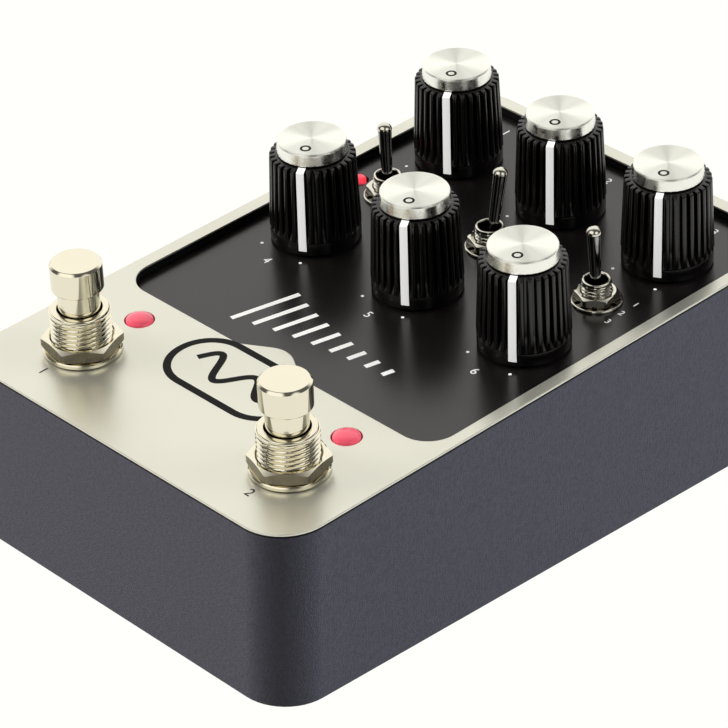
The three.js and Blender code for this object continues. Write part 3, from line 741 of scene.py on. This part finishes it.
# %% Knob body
RIBS = 32
RIB_PITCH = 360 / RIBS
GROOVE = 1.2
POINTER_TURN = 30


def rib_angles():
    """Degrees round the knob, packed close at the walls of the ribs. The rib at zero is the pointer's."""
    offsets = np.array([-5.6, -4.3, -3.7, -3.1, -2.5, -1.3, 0.0, 1.3, 2.5, 3.1, 3.7, 4.3])
    centres = np.arange(1, RIBS)[:, None] * RIB_PITCH
    pointer = np.array([-6.8, -6.3, -5.8, -5.2, -3.0, 0.0, 3.0, 5.2, 5.8, 6.3, 6.8])
    return np.sort(np.concatenate([pointer % 360, (centres + offsets).ravel()]))


def ribs(angle):
    """How much of a groove there is at an angle, 0 to 1, and how far a rib's crest has fallen away.

    The step from rib to groove is t * t * (3 - 2 * t) of the distance past the rib's edge. The crest
    falls with the square of the distance from the rib's middle.
    """
    turn = np.abs((angle + 180) % 360 - 180)
    at_pointer = turn < RIB_PITCH * 0.7
    distance = np.abs((angle + RIB_PITCH / 2) % RIB_PITCH - RIB_PITCH / 2)
    distance = np.where(at_pointer, turn, distance)
    edge = np.where(at_pointer, 5.2, 2.7)
    t = np.clip((distance - edge) / 1.5, 0, 1)
    crest = np.where(at_pointer, 0, 0.14 * (np.minimum(distance, 2.7) / 2.7) ** 2)
    return t * t * (3 - 2 * t), crest, turn < 6


def knob_rings():
    """Rings from the shaft's bore, under the skirt, up the ribbed barrel and over the shoulder."""
    angle = rib_angles()
    groove, crest, pointer = ribs(angle)
    below = [(0, 16.0), (3.25, 16.0), (3.25, 3.5), (7.2, 3.5), (7.2, 0.4), (9.05, 0.4), (9.2, 0.55),
             (9.22, 1.2), (9.22, 1.35), (9.18, 2.95), (9.12, 3.1), (8.95, 3.2)]
    barrel = [(9.2, 3.25), (9.29, 3.38)]
    barrel += [(9.32 - 0.62 * t, 3.45 + 15.6 * t) for t in np.linspace(0, 1, 10)]
    shoulder = [(8.63, 19.2), (8.48, 19.31), (8.1, 19.4), (7.6, 19.48), (7.3, 19.54), (7.15, 19.58),
                (6.9, 19.6), (0, 19.6)]
    rings = [np.where(pointer & (1.3 < z < 3.22), 9.3, r) for r, z in below]
    for radius, height in barrel + shoulder:
        floor = 9.37 - 0.62 * (height - 3.4) / 15.8 - GROOVE * min(1, (height - 3.2) / 1.2)
        crowned = radius - crest * (radius > 8.55)
        rings.append(np.minimum(crowned, crowned + (floor - crowned) * groove))
    heights = np.array([z for _, z in below + barrel + shoulder])
    t = np.radians(angle - 90)
    radius = np.array(rings)
    height = np.broadcast_to(heights[:, None], radius.shape)
    return [grid(np.stack([radius * np.cos(t), radius * np.sin(t), height], axis=-1))]


KNOB_SEATS = {name: deck_at(u, v, PANEL, POINTER_TURN) for name, (u, v) in KNOBS.items()}
knob_shape = weld(knob_rings())
for name, seat in KNOB_SEATS.items():
    piece(f"ribbed_knob_{name}", knob_shape, KNOB_BLACK, [f"knob_body_{name}"], seat,
          body=f"knob_{name}", sharp=30)
print("a knob has", len(knob_shape.polygons), "faces")

# %% [markdown]
# The pointer is a white stripe laid on its rib, from just above the panel to the edge of the cap. It
# is a thin closed strip: the rib's outline pushed out by a hair, and the same outline sunk into it.

# %% Pointer stripe
STRIPE = np.array([(9.31, 1.5), (9.33, 3.6), (9.02, 11.5), (8.72, 18.95), (8.64, 19.2), (8.46, 19.34),
                   (7.22, 19.6)])


def stripe_rings(half_width=0.82, proud=0.035, sunk=0.25):
    """Rings across the stripe: at side x the distance is the square root of (r * r - x * x)."""
    side = np.linspace(-1, 1, 5)
    x = np.outer(np.linspace(1, 0.9, len(STRIPE)), side) * half_width
    layers = []
    for offset in (proud, -sunk):
        distance = np.sqrt((STRIPE[:, :1] + offset) ** 2 - x ** 2)
        height = STRIPE[:, 1:] + max(offset, 0)
        layers.append(np.stack([x, -distance, np.repeat(height, 5, axis=1)], axis=-1))
    loop = np.concatenate([layers[0], layers[1][:, ::-1]], axis=1)
    return [grid(loop), (loop[0], [list(range(10))]), (loop[-1], [list(range(10))])]


stripe_shape = weld(stripe_rings())
# Each stripe's white carries a painted glow of its own.
for name, seat in KNOB_SEATS.items():
    piece(f"pointer_{name}", stripe_shape, POINTER_WHITE_GLOW, where=seat, body=f"knob_{name}")

# %% [markdown]
# The cap is a turned disc with a steep rim. Its face is spun and its rim is satin, so the rim has its
# own finish. The small circle on the face, on the pointer's side, is an engraved ring, drawn here as
# a thin black ring. A shader could paint it, but a thin flat ring laid on the disc has a crisp edge.

# %% Knob cap
CAP_MARK = {"at": -4.2, "inner": 0.68, "outer": 1.14, "thickness": 0.03}
CAP_FACE = 22.47
CAP_RIM = 6.9

cap_profile = [(0, 19.9), (7.05, 19.9), (7.17, 19.97), (7.2, 20.1), (6.96, 21.95), (6.93, 22.15),
               (6.87, 22.32), (6.77, 22.43), (6.63, CAP_FACE)]
cap_profile += [(radius, CAP_FACE) for radius in np.linspace(6.3, 0, 9)]
cap_shape = lathe(cap_profile, 96)
spun_uv(cap_shape)
two_finishes(cap_shape, SPUN, SATIN_RIM, off_axis(cap_shape) > CAP_RIM)
mark_shape = weld(plate(lambda inset: circle(0, CAP_MARK["at"], CAP_MARK["outer"] - inset, 40),
                        [hole(0, CAP_MARK["at"], CAP_MARK["inner"], 40)],
                        CAP_FACE - 0.05, CAP_FACE + CAP_MARK["thickness"]))
for name, seat in KNOB_SEATS.items():
    piece(f"cap_{name}", cap_shape, SPUN, [f"knob_cap_{name}"], seat,
          body=f"knob_{name}", sharp=50)
    piece(f"cap_mark_{name}", mark_shape, PRINT_AND_SHADE_BLACK, where=seat, body=f"knob_{name}")
print("a cap has", len(cap_shape.polygons), "faces")

# %% [markdown]
# ## Nuts and washers
# A nut is a hexagon whose top was turned off at an angle on a lathe, which leaves curved edges. It
# could be a prism cut by a cone. Here it is one formula: the distance to a flat side is the apothem
# divided by a cosine, and the upper edge of each side sinks where the hexagon reaches past the cone.

# %% Nuts and washers


def hex_nut(across, height, bore, columns=96, slope=24, blunt=0.07, bevel=0.15):
    """A hex nut: radius a / cos(d), d from the middle of a side, and a cone over the corners."""
    angle = np.linspace(0, 360, columns, endpoint=False)
    apothem = across / 2
    corner = apothem / math.cos(math.radians(30))
    side = np.minimum(apothem / np.cos(np.radians(angle % 60 - 30)), corner - blunt)
    crown = apothem - bevel
    fall = (side - crown) * math.tan(math.radians(slope))
    return lathe([(bore, 0), (crown, 0), (side, fall), (side, height - fall), (crown, height),
                  (bore + 0.25, height), (bore, height - 0.25), (bore, 0)], columns)


def washer(radius, height, bore, edge):
    return lathe([(bore, 0), (radius - edge, 0), (radius, edge), (radius, height - edge),
                  (radius - edge, height), (bore, height), (bore, 0)], 96)


def hex_sides(mesh):
    """Which faces of a nut stand upright and lie far from its axis."""
    away = off_axis(mesh)
    return (np.abs(read(mesh.polygons, "normal")[:, 2]) < 0.05) & (away > 0.8 * away.max())


# %% [markdown]
# ## Toggle switches
# A mini toggle has a threaded bushing that stands through the panel, a nut on a toothed washer, and
# a bat-shaped lever on a ball. The washer was stamped, so it is a flat sheet whose hole is a ring of
# teeth; round the nut it is painted darker than at its rim, as painted shade. The thread is a wave in
# the bushing's radius that moves up by one pitch in each turn. The chrome is painted darker on a
# lever's handle than on its tip: painted shade, as if a dark room stood round it.

# %% Toggle switches
TOGGLE = {"bushing": 3.0, "bore": 1.95, "mouth": 2.35, "pivot": -2.4, "pitch": 0.75, "thread": 0.36,
          "tip": 15.3}
TOGGLE_WASHER = {"radius": 5.2, "teeth": 12, "root": 3.35, "tooth": 1.15, "thickness": 0.5, "rim": 4.88,
                 "turn": 7}
TOGGLE_NUT_TURN = -21.4
LEVER_TIP = 1.55
SWITCH_TOP = RECESS_CEILING - 0.3
INSIDE_FLOOR = -11.7
LEANS = {"left": 1.4, "middle": -11.5, "right": 2.7}

toggle_rows = [(0, -4.6), (TOGGLE["bore"], -4.6), (TOGGLE["bore"], TOGGLE["pivot"]), (TOGGLE["mouth"], 2.9),
               (TOGGLE["mouth"] + 0.12, 3.04), (TOGGLE["mouth"] + 0.25, 3.1), (2.72, 3.1), (2.86, 3.02),
               (2.92, 2.85), (2.92, 2.5)]
toggle_rows += thread(TOGGLE["bushing"], TOGGLE["thread"], TOGGLE["pitch"], SWITCH_TOP, 2.4)[::-1]
toggle_rows += [(0, SWITCH_TOP - 0.1)]
toggle_box = plate(block_outline(4, 6.3, 0.4), [], INSIDE_FLOOR, SWITCH_TOP, edge=0.2)
toggle_shape = lathe(toggle_rows, box=toggle_box)


def toothed_edge(grow):
    """The washer's hole: the radius steps between two values twelve times round, with sloping steps."""
    angle = np.linspace(0, 2 * np.pi, 240, endpoint=False)
    wave = np.clip(0.5 + 3.0 * np.cos(TOGGLE_WASHER["teeth"] * angle), 0, 1)
    radius = TOGGLE_WASHER["root"] + TOGGLE_WASHER["tooth"] * wave + grow
    return around(0, 0, radius, angle)


toggle_washer = weld(plate(lambda inset: circle(0, 0, TOGGLE_WASHER["radius"] - inset, 96), [toothed_edge],
                           0, TOGGLE_WASHER["thickness"], edge=0.3))
# The washer's inner part is painted darker than its chrome rim: painted shade round the nut.
two_finishes(toggle_washer, STEEL_PAINTED_SHADE, CHROME, off_axis(toggle_washer) > TOGGLE_WASHER["rim"])
toggle_nut = hex_nut(across=8, height=1.9, bore=3.05)


def lever_rows(reach):
    """The bat from its ball up: a thin neck, then a handle that thickens to a round tip at its reach."""
    ball = [(1.5 * math.sin(a), -1.5 * math.cos(a)) for a in np.linspace(0, 2.45, 12)]
    handle = [(1.0 + 0.42 * t, 2.4 + (reach - 3.95) * t) for t in np.linspace(0, 1, 14)]
    head = [(1.48, reach - 1.5), (1.53, reach - 1.4)]
    tip = [(1.53 * math.cos(a), reach - 1.3 + 1.3 * math.sin(a)) for a in np.linspace(0.05, math.pi / 2, 12)]
    return ball + [(0.93, 1.7)] + handle + head + tip


lever_length = TOGGLE["tip"] - TOGGLE["pivot"]
lever_shape = lathe(lever_rows(lever_length), 48)
# The handle below the tip gets the darker chrome: painted shade.
two_finishes(lever_shape, CHROME_PAINTED_SHADE, CHROME, face_middles(lever_shape)[:, 2] > lever_length - LEVER_TIP)
for column, u in COLUMNS.items():
    piece(f"toggle_{column}", toggle_shape, CHROME, [f"toggle_body_{column}"],
          deck_at(u, TOGGLE_V))
    piece(f"toggle_washer_{column}", toggle_washer, CHROME,
          where=deck_at(u, TOGGLE_V, PANEL + 0.1, TOGGLE_WASHER["turn"]))
    piece(f"toggle_hex_{column}", toggle_nut, CHROME, [f"toggle_nut_{column}"],
          deck_at(u, TOGGLE_V, PANEL + 0.6, TOGGLE_NUT_TURN), sharp=12)
    piece(f"bat_{column}", lever_shape, CHROME, [f"toggle_lever_{column}"],
          deck_at(u, TOGGLE_V, TOGGLE["pivot"], 0, LEANS[column]), body=f"lever_{column}")
print("a toggle has", len(toggle_shape.polygons), "faces")

# %% [markdown]
# ## Footswitches
# The footswitch is the same idea in large: a 12 mm threaded bushing, a hex nut on a plain washer and
# a plunger whose round cap stands on a slightly thinner neck. All of it is nickel plated. It is
# polished but for the nut's sides, so it shows its surroundings, and small roundings at each edge
# give the bright lines.

# %% Footswitches
NUT_TURNS = {"left": -9.5, "right": -17.5}
BUSHING = {"radius": 6.0, "bore": 4.42, "pitch": 1.0, "thread": 0.6}
switch_top = FRONT_CEILING - 0.3
bushing_rows = [(0, -9), (BUSHING["bore"], -9), (BUSHING["bore"], 9.6), (4.48, 9.74), (4.6, 9.8),
                (5.4, 9.8), (5.62, 9.7), (5.75, 9.5), (5.78, 9.3)]
bushing_rows += thread(BUSHING["radius"], BUSHING["thread"], BUSHING["pitch"], switch_top, 9.25, 96)[::-1]
bushing_rows += [(0, switch_top - 0.1)]
footswitch_box = plate(block_outline(7.5, 7.5, 0.8), [], switch_top - 16, switch_top, edge=0.2)
footswitch_shape = lathe(bushing_rows, 96, footswitch_box)
plunger_rows = [(0, -5), (3.9, -5), (4.1, -4.8), (4.15, 14.3), (4.9, 14.38), (5.05, 14.45),
                (5.12, 14.6), (5.12, 19.5), (5.1, 19.58), (5.05, 19.64), (4.68, 20.02),
                (4.62, 20.07), (4.54, 20.1), (0, 20.1)]
plunger_shape = lathe(plunger_rows, 96)
footswitch_nut = hex_nut(across=14, height=2.5, bore=6.1)
# The nut's sides are rougher and painted darker: the darkness is painted shade.
two_finishes(footswitch_nut, NICKEL, DULL_NICKEL_PAINTED_SHADE, hex_sides(footswitch_nut))
footswitch_washer = washer(radius=7.7, height=1.0, bore=6.2, edge=0.2)
for side, u in PEDALS.items():
    seat = deck_at(u, FOOTSWITCH_V)
    piece(f"footswitch_{side}", footswitch_shape, NICKEL, [f"footswitch_body_{side}"], seat)
    piece(f"washer_{side}", footswitch_washer, NICKEL, [f"footswitch_washer_{side}"],
          deck_at(u, FOOTSWITCH_V, 0.15))
    piece(f"hex_{side}", footswitch_nut, NICKEL, [f"footswitch_nut_{side}"],
          deck_at(u, FOOTSWITCH_V, 1.25, NUT_TURNS[side]), sharp=12)
    piece(f"cap_plunger_{side}", plunger_shape, NICKEL, [f"footswitch_plunger_{side}"], seat,
          body=f"plunger_{side}", sharp=20)
print("a footswitch has", len(footswitch_shape.polygons), "faces")

# %% [markdown]
# ## Lamps
# Each lamp is a clear red dome that stands a little out of its hole. Its light comes from inside, so
# the lens glows evenly and has almost no shading. It is turned from a profile with a quarter ellipse.

# %% Lamps


def lamp_rows(radius, top, dome):
    """A lamp from its flange up: its dome is a quarter ellipse."""
    flange, low = radius + 0.4, INSIDE_FLOOR
    arc = [(radius * math.cos(a), top - dome + dome * math.sin(a)) for a in np.linspace(0, math.pi / 2, 12)]
    return [(0, low), (flange, low), (flange, low + 1), (radius, low + 1), *arc]


lamp_shape = lathe(lamp_rows(radius=2.75, top=1.0, dome=1.2), 64)
tempo_shape = lathe(lamp_rows(radius=1.5, top=PANEL + 1.1, dome=0.9), 48)
for side, u in PEDALS.items():
    piece(f"lens_{side}", lamp_shape, LENS_RED, [f"lamp_{side}"], deck_at(u, LAMP_V))
piece("lens_tempo", tempo_shape, TEMPO_RED, ["lamp_tempo"],
      deck_at(*TEMPO_LENS))

# %% [markdown]
# ## Sockets on the rear wall
# Four jacks stand side by side behind the wall, each held by a nut. Above them are a power socket with
# a pin in its middle, a flat port and a small button. Their bodies hide inside the case, but their
# mouths are seen from behind, so bores, pins and contacts are real openings and not painted discs.

# %% Jacks
jack_rows = [(0, -22.5), (3.3, -22.5), (3.3, 2.8), (3.5, 3.1), (3.7, 3.2), (4.3, 3.2), (4.5, 3.1),
             (4.55, 2.9)]
jack_rows += thread(radius=4.7, depth=0.3, pitch=0.8, low=-2.8, high=2.8)[::-1]
jack_rows += [(0, -2.9)]
jack_box = plate(block_outline(7.9, 6, 0.8), [hole(0, 0, 3.31)], -25.5, -2.8, edge=0.3)
jack_shape = lathe(jack_rows, box=jack_box)
jack_nut = hex_nut(across=12.7, height=2.1, bore=4.9)
jack_washer = washer(radius=7.1, height=0.5, bore=4.9, edge=0.1)
sleeve = lathe([(3.05, -12), (3.28, -12), (3.28, -3), (3.05, -3), (3.05, -12)], 48)
for side, x in JACKS.items():
    seat = wall_at(x, JACK_HEIGHT)
    piece(f"jack_body_{side}", jack_shape, SOCKET_BLACK, [f"jack_{side}"], seat)
    piece(f"jack_sleeve_{side}", sleeve, STEEL, where=seat)
    piece(f"jack_washer_{side}", jack_washer, NICKEL, where=wall_at(x, JACK_HEIGHT, 0.1))
    piece(f"jack_hex_{side}", jack_nut, NICKEL, [f"jack_nut_{side}"],
          wall_at(x, JACK_HEIGHT, 0.6), sharp=12)

# %% Power socket, port and button
POWER_SEAT = wall_at(0, POWER_HEIGHT)
PORT_SEAT = wall_at(PORT_X, PORT_HEIGHT)
socket_rows = [(0, -11), (2.9, -11), (2.9, -0.6), (3.1, -0.3), (3.3, -0.2), (4.0, -0.2), (4.2, -0.4),
               (4.2, -2.9), (0, -2.95)]
socket_box = plate(block_outline(4.5, 5.5, 0.5), [hole(0, 0, 2.91)], -13.5, -2.8, edge=0.2)
piece("power_inlet", lathe(socket_rows, box=socket_box), SOCKET_BLACK,
      ["power_socket"], POWER_SEAT)
pin_rows = [(0, -11.2), (1.05, -11.2), (1.05, -2.0), (0.9, -1.6), (0.55, -1.42), (0, -1.4)]
piece("power_pin", lathe(pin_rows, 32), STEEL, where=POWER_SEAT)

port_edge = block_outline(4.47, 1.63, 1.6, 8)
port_tube = weld(plate(port_edge, [lambda inset: port_edge(0.3 - inset)], -7.4, -0.4, edge=0.1))
piece("port_shell", port_tube, STEEL, ["usb_port"], PORT_SEAT)
tongue = plate(block_outline(3.35, 0.35, 0.15), [], -7.3, -1.2) + prism(port_edge(0.2), -7.7, -7.25)
piece("port_tongue", weld(tongue), SOCKET_BLACK, where=PORT_SEAT)

button_rows = [(0, -3.6), (2.6, -3.6), (2.6, -2.8), (1.6, -2.8), (1.6, 0.5), (1.54, 0.68), (1.4, 0.78),
               (1.2, 0.8), (0, 0.74)]
piece("button_cap", lathe(button_rows, 48), SOCKET_BLACK, ["rear_button"],
      wall_at(BUTTON_X, PORT_HEIGHT), body="button")
print("rear wall done")

# %% [markdown]
# ## Underside
# A base plate closes the case, with a countersunk screw in each corner and four rubber feet. The
# screws' cross slots are cut with a boolean, which is the quickest way to a crisp slot.

# %% Base plate, screws and feet
BASE_INSET = WALL + 0.3
BASE_SHEET = 1.5
SCREW_HOLE = 2.7
base = weld(plate(block_outline(HALF_X - BASE_INSET, HALF_Y - BASE_INSET, CORNER - BASE_INSET, 12),
                  [hole(x, y, SCREW_HOLE) for x, y in corners], -BOTTOM - BASE_SHEET, -BOTTOM, edge=0.2),
            UNDERSIDE)
piece("base", base, POWDER, ["base_plate"])
slots = [weld(prism(block_outline(a, b, 0.1, 2)(0), -0.95, 1)) for a, b in ((1.5, 0.28), (0.28, 1.5))]
head = lathe([(0, -8), (1.2, -8), (1.25, -1.45), (2.6, -0.6), (2.6, -0.45), (2.5, -0.22), (2.1, -0.1),
              (0, -0.05)], 48)
screw_shape = cut(head, *slots)
for index, (x, y) in enumerate(corners):
    piece(f"screw_{index + 1}", screw_shape, STEEL, sharp=40,
          where=make_frame([x, CASE_Y + y, BOTTOM], X, -Y, -UP))
FOOT_X = {"left": -33, "right": 33}
FOOT_Y = {"front": -58, "rear": 58}
foot_shape = lathe([(0, 0.25), (3.2, 0.2), (4.2, 0.02), (4.8, 0), (5.6, 0), (5.9, 0.08), (6.05, 0.3),
                    (6.4, 1.3), (6.4, 1.5), (0, 1.5)])
for side, x in FOOT_X.items():
    for end, y in FOOT_Y.items():
        piece(f"rubber_foot_{end}_{side}", foot_shape, RUBBER, [f"foot_{end}_{side}"],
              where=make_frame([x, CASE_Y + y, 0], X, Y, UP))

# %% [markdown]
# ## Inside
# The boards, the pots' shafts and the button's switch hide inside the case. Their CAD solids have the
# right shapes, so they stay, and only take a finish.

# %% Finishes on the CAD solids that stay
kept = {"main_board": BOARD, "jack_board": BOARD, "rear_button_switch": STEEL}
kept.update({f"pot_shaft_{name}": STEEL for name in KNOBS})
for name, material in kept.items():
    for held in frame["nodes"][name].material_slots:
        held.material = material
print(len(kept), "CAD solids keep their shape")

# %% [markdown]
# ## Marks
# The marks are silk-screened: thin layers of paint, white on the panel and black on the silver. They
# could be painted in the shader, but a thin mesh has crisp edges at every distance. All of them are
# plain: dots at the ends of each knob's travel, numbers, a row of fading bars and a wave in a frame.

# %% Marks
INK = 0.02
DOT = {"ring": 11.3, "radius": 0.33, "angles": (-120, -60)}
LABEL = {"rear": 14, "front": -13.7, "size": 2.9}
FOOTSWITCH_LABEL = {"v": -63.6, "size": 3.2}
POSITIONS = {"u": 35.9, "v": (32.6, 28.5, 24.6), "size": 2.2}
BARS = {"count": 9, "left": -17, "pitch": 4.3, "v": -17, "tall": 15, "shrink": 0.8, "slant": 0.12,
        "width": 1.15}
WAVE_FRAME = {"outer": (-16.6, 16.6, -49, -31.4, 8.7), "inner": (-15, 15, -47.4, -33.0, 7.1)}
WAVE = {"v": -40.2, "half_length": 11, "height": 4.2, "turns": 4 * np.pi, "fade": 0.55, "width": 1.5}


def ink(name, mesh, where, material):
    piece(name, mesh, material, where=where)


def number(name, value, u, v, size, height, material):
    """A number as a thin closed mesh: a text curve, made a mesh and then placed on the deck."""
    curve = bpy.data.curves.new(name, "FONT")
    curve.body = str(value)
    curve.size = size * MM
    curve.extrude = INK * MM
    curve.align_x = "CENTER"
    curve.align_y = "CENTER"
    maker = put(name, curve)
    mesh = cleaned(evaluated(maker), 1e-6)
    bpy.data.objects.remove(maker)
    mesh.materials.clear()
    ink(name, mesh, deck_at(u, v, height), material)


# The white marks have a painted glow on top of their white.
dots = []
for u, v in KNOBS.values():
    for angle in np.radians(DOT["angles"]):
        x, y = u + DOT["ring"] * math.cos(angle), v + DOT["ring"] * math.sin(angle)
        dots += plate(lambda inset: circle(x, y, DOT["radius"] - inset, 24), [], -INK, INK)
ink("dots", weld(dots), deck_at(0, 0, PANEL), PRINT_WHITE_GLOW)
for index, (name, (u, v)) in enumerate(KNOBS.items(), 1):
    row = name.split("_")[0]
    number(f"number_{name}", index, u, v + LABEL[row], LABEL["size"], PANEL, PRINT_WHITE_GLOW)
for index, v in enumerate(POSITIONS["v"], 1):
    number(f"position_{index}", index, POSITIONS["u"], v, POSITIONS["size"], PANEL, PRINT_WHITE_GLOW)
for index, (side, u) in enumerate(PEDALS.items(), 1):
    number(f"number_footswitch_{side}", index, u, FOOTSWITCH_LABEL["v"], FOOTSWITCH_LABEL["size"], 0,
           PRINT_AND_SHADE_BLACK)

bars = []
for k in range(BARS["count"]):
    u, v = BARS["left"] + BARS["pitch"] * k, BARS["v"]
    tall = BARS["tall"] * BARS["shrink"] ** k
    lean = BARS["slant"] * tall
    bars += ribbon([[u - lean, v - tall / 2], [u + lean, v + tall / 2]], BARS["width"], -INK, INK)
ink("fading_bars", weld(bars), deck_at(0, 0, PANEL), PRINT_WHITE_GLOW)

wave_mark = plate(lambda inset: rounded_rectangle(*WAVE_FRAME["outer"]),
                  [lambda inset: rounded_rectangle(*WAVE_FRAME["inner"])], -INK, INK)
s = np.linspace(0, 1, 97)
wave_u = -WAVE["half_length"] + 2 * WAVE["half_length"] * s
wave_v = WAVE["v"] + WAVE["height"] * np.sin(s * WAVE["turns"]) * (1 - WAVE["fade"] * s)
wave_mark += ribbon(np.column_stack([wave_u, wave_v]), WAVE["width"], -INK, INK)
ink("wave_mark", weld(wave_mark), deck_at(0, 0, 0), PRINT_AND_SHADE_BLACK)
print("marks done")

# %% [markdown]
# ## Floor and light
# A white floor and soft lamps give a plain studio. One lamp stands to the left of the case and one to
# the right and behind it, so the two walls in view are lighter than the round corner between them. The
# world is white to the camera. In reflections it has three bright screens with a dark room between
# them, which draws the dark bands on polished metal. As a light it is dim and a little blue.

# %% Floor
WHITE = (1.0, 0.991, 0.956, 1.0)
floor_mesh = bpy.data.meshes.new("floor")
floor_mesh.from_pydata([(-5, -5, 0), (5, -5, 0), (5, 5, 0), (-5, 5, 0)], [], [(0, 1, 2, 3)])
floor = put("floor", floor_mesh)


def seen_directly(tree):
    """1 for rays from the camera, in reflections and through glass, and 0 for rays that only carry light."""
    kinds = add_node(tree, "ShaderNodeLightPath").outputs
    first = combined(tree, "ADD", kinds["Is Camera Ray"], kinds["Is Glossy Ray"])
    return combined(tree, "ADD", first, kinds["Is Transmission Ray"], use_clamp=True)


def mixed(tree, share, first, second):
    """A mix of two shaders, which is the second one where the share is 1."""
    node = add_node(tree, "ShaderNodeMixShader", {0: share, 1: first.outputs[0], 2: second.outputs[0]})
    return node.outputs[0]


FLOOR_SHARE = 0.93
FLOOR_GLOW = 1.08
paper = bpy.data.materials.new("studio paper")
paper.use_nodes = True
tree = paper.node_tree
tree.nodes.clear()
matt = add_node(tree, "ShaderNodeBsdfDiffuse", {"Color": (0.26, 0.258, 0.255, 1)})
glow = add_node(tree, "ShaderNodeEmission", {"Color": WHITE, "Strength": FLOOR_GLOW})
add_node(tree, "ShaderNodeOutputMaterial", {
    "Surface": mixed(tree, combined(tree, "MULTIPLY", seen_directly(tree), FLOOR_SHARE), matt, glow)})
floor_mesh.materials.append(paper)

# %% World and lamps
SCREENS = {
    "backdrop": {"azimuth": AZIMUTH + 180, "elevation": 20, "outer": 68, "inner": 44, "level": 1.2},
    "left": {"azimuth": AZIMUTH - 46, "elevation": 35, "outer": 36, "inner": 22, "level": 1.25},
    "right": {"azimuth": AZIMUTH + 43, "elevation": 30, "outer": 26, "inner": 14, "level": 1.25},
}
UNLIT = 0.12


def studio_level(tree):
    """How bright the room is in a direction: 1 on camera rays, else high on three screens and low between.

    A screen is a cap of the sky: it fades in as the direction turns from its outer to its inner angle.
    """
    place = add_node(tree, "ShaderNodeTexCoord").outputs["Generated"]
    brightest = None
    for screen in SCREENS.values():
        direction = compass(screen["azimuth"], screen["elevation"])
        turn = add_node(tree, "ShaderNodeVectorMath", {0: place, 1: direction}, operation="DOT_PRODUCT")
        level = add_node(tree, "ShaderNodeMapRange", {
            "From Min": math.cos(math.radians(screen["outer"])), "To Min": UNLIT,
            "From Max": math.cos(math.radians(screen["inner"])), "To Max": screen["level"],
            "Value": turn.outputs["Value"]}, interpolation_type="SMOOTHSTEP").outputs["Result"]
        brightest = level if brightest is None else combined(tree, "MAXIMUM", level, brightest)
    camera_ray = add_node(tree, "ShaderNodeLightPath").outputs["Is Camera Ray"]
    return add_node(tree, "ShaderNodeMix", {"Factor": camera_ray, "A": brightest, "B": 1}).outputs["Result"]


DIMMED = 0.19
world = bpy.data.worlds.new("studio")
world.use_nodes = True
bpy.context.scene.world = world
tree = world.node_tree
tree.nodes.clear()
room_level = studio_level(tree)
light = add_node(tree, "ShaderNodeBackground", {
    "Color": (0.93, 0.965, 1.0, 1), "Strength": combined(tree, "MULTIPLY", room_level, DIMMED)})
shown = add_node(tree, "ShaderNodeBackground", {"Color": WHITE, "Strength": room_level})
add_node(tree, "ShaderNodeOutputWorld", {"Surface": mixed(tree, seen_directly(tree), light, shown)})


def soft_lamp(name, azimuth, elevation, distance, size, watts, color):
    """A square area lamp that looks at the pedal's middle from an azimuth and an elevation in degrees.

    It is left out of mirror reflections, where the screens take its place.
    """
    data = bpy.data.lights.new(name, "AREA")
    data.size = size
    data.energy = watts
    data.color = color
    lamp = put(name, data)
    away = compass(azimuth, elevation)
    lamp.location = away * distance + Vector((0, 0, 0.03))
    lamp.rotation_mode = "QUATERNION"
    lamp.rotation_quaternion = away.to_track_quat("Z", "Y")
    lamp.visible_glossy = False


soft_lamp("left_lamp", azimuth=-55, elevation=24, distance=1.4, size=0.8, watts=23.5, color=(1.0, 0.97, 0.94))
soft_lamp("right_lamp", azimuth=135, elevation=26, distance=1.2, size=0.7, watts=13, color=(0.92, 0.98, 1.0))
print("studio ready")
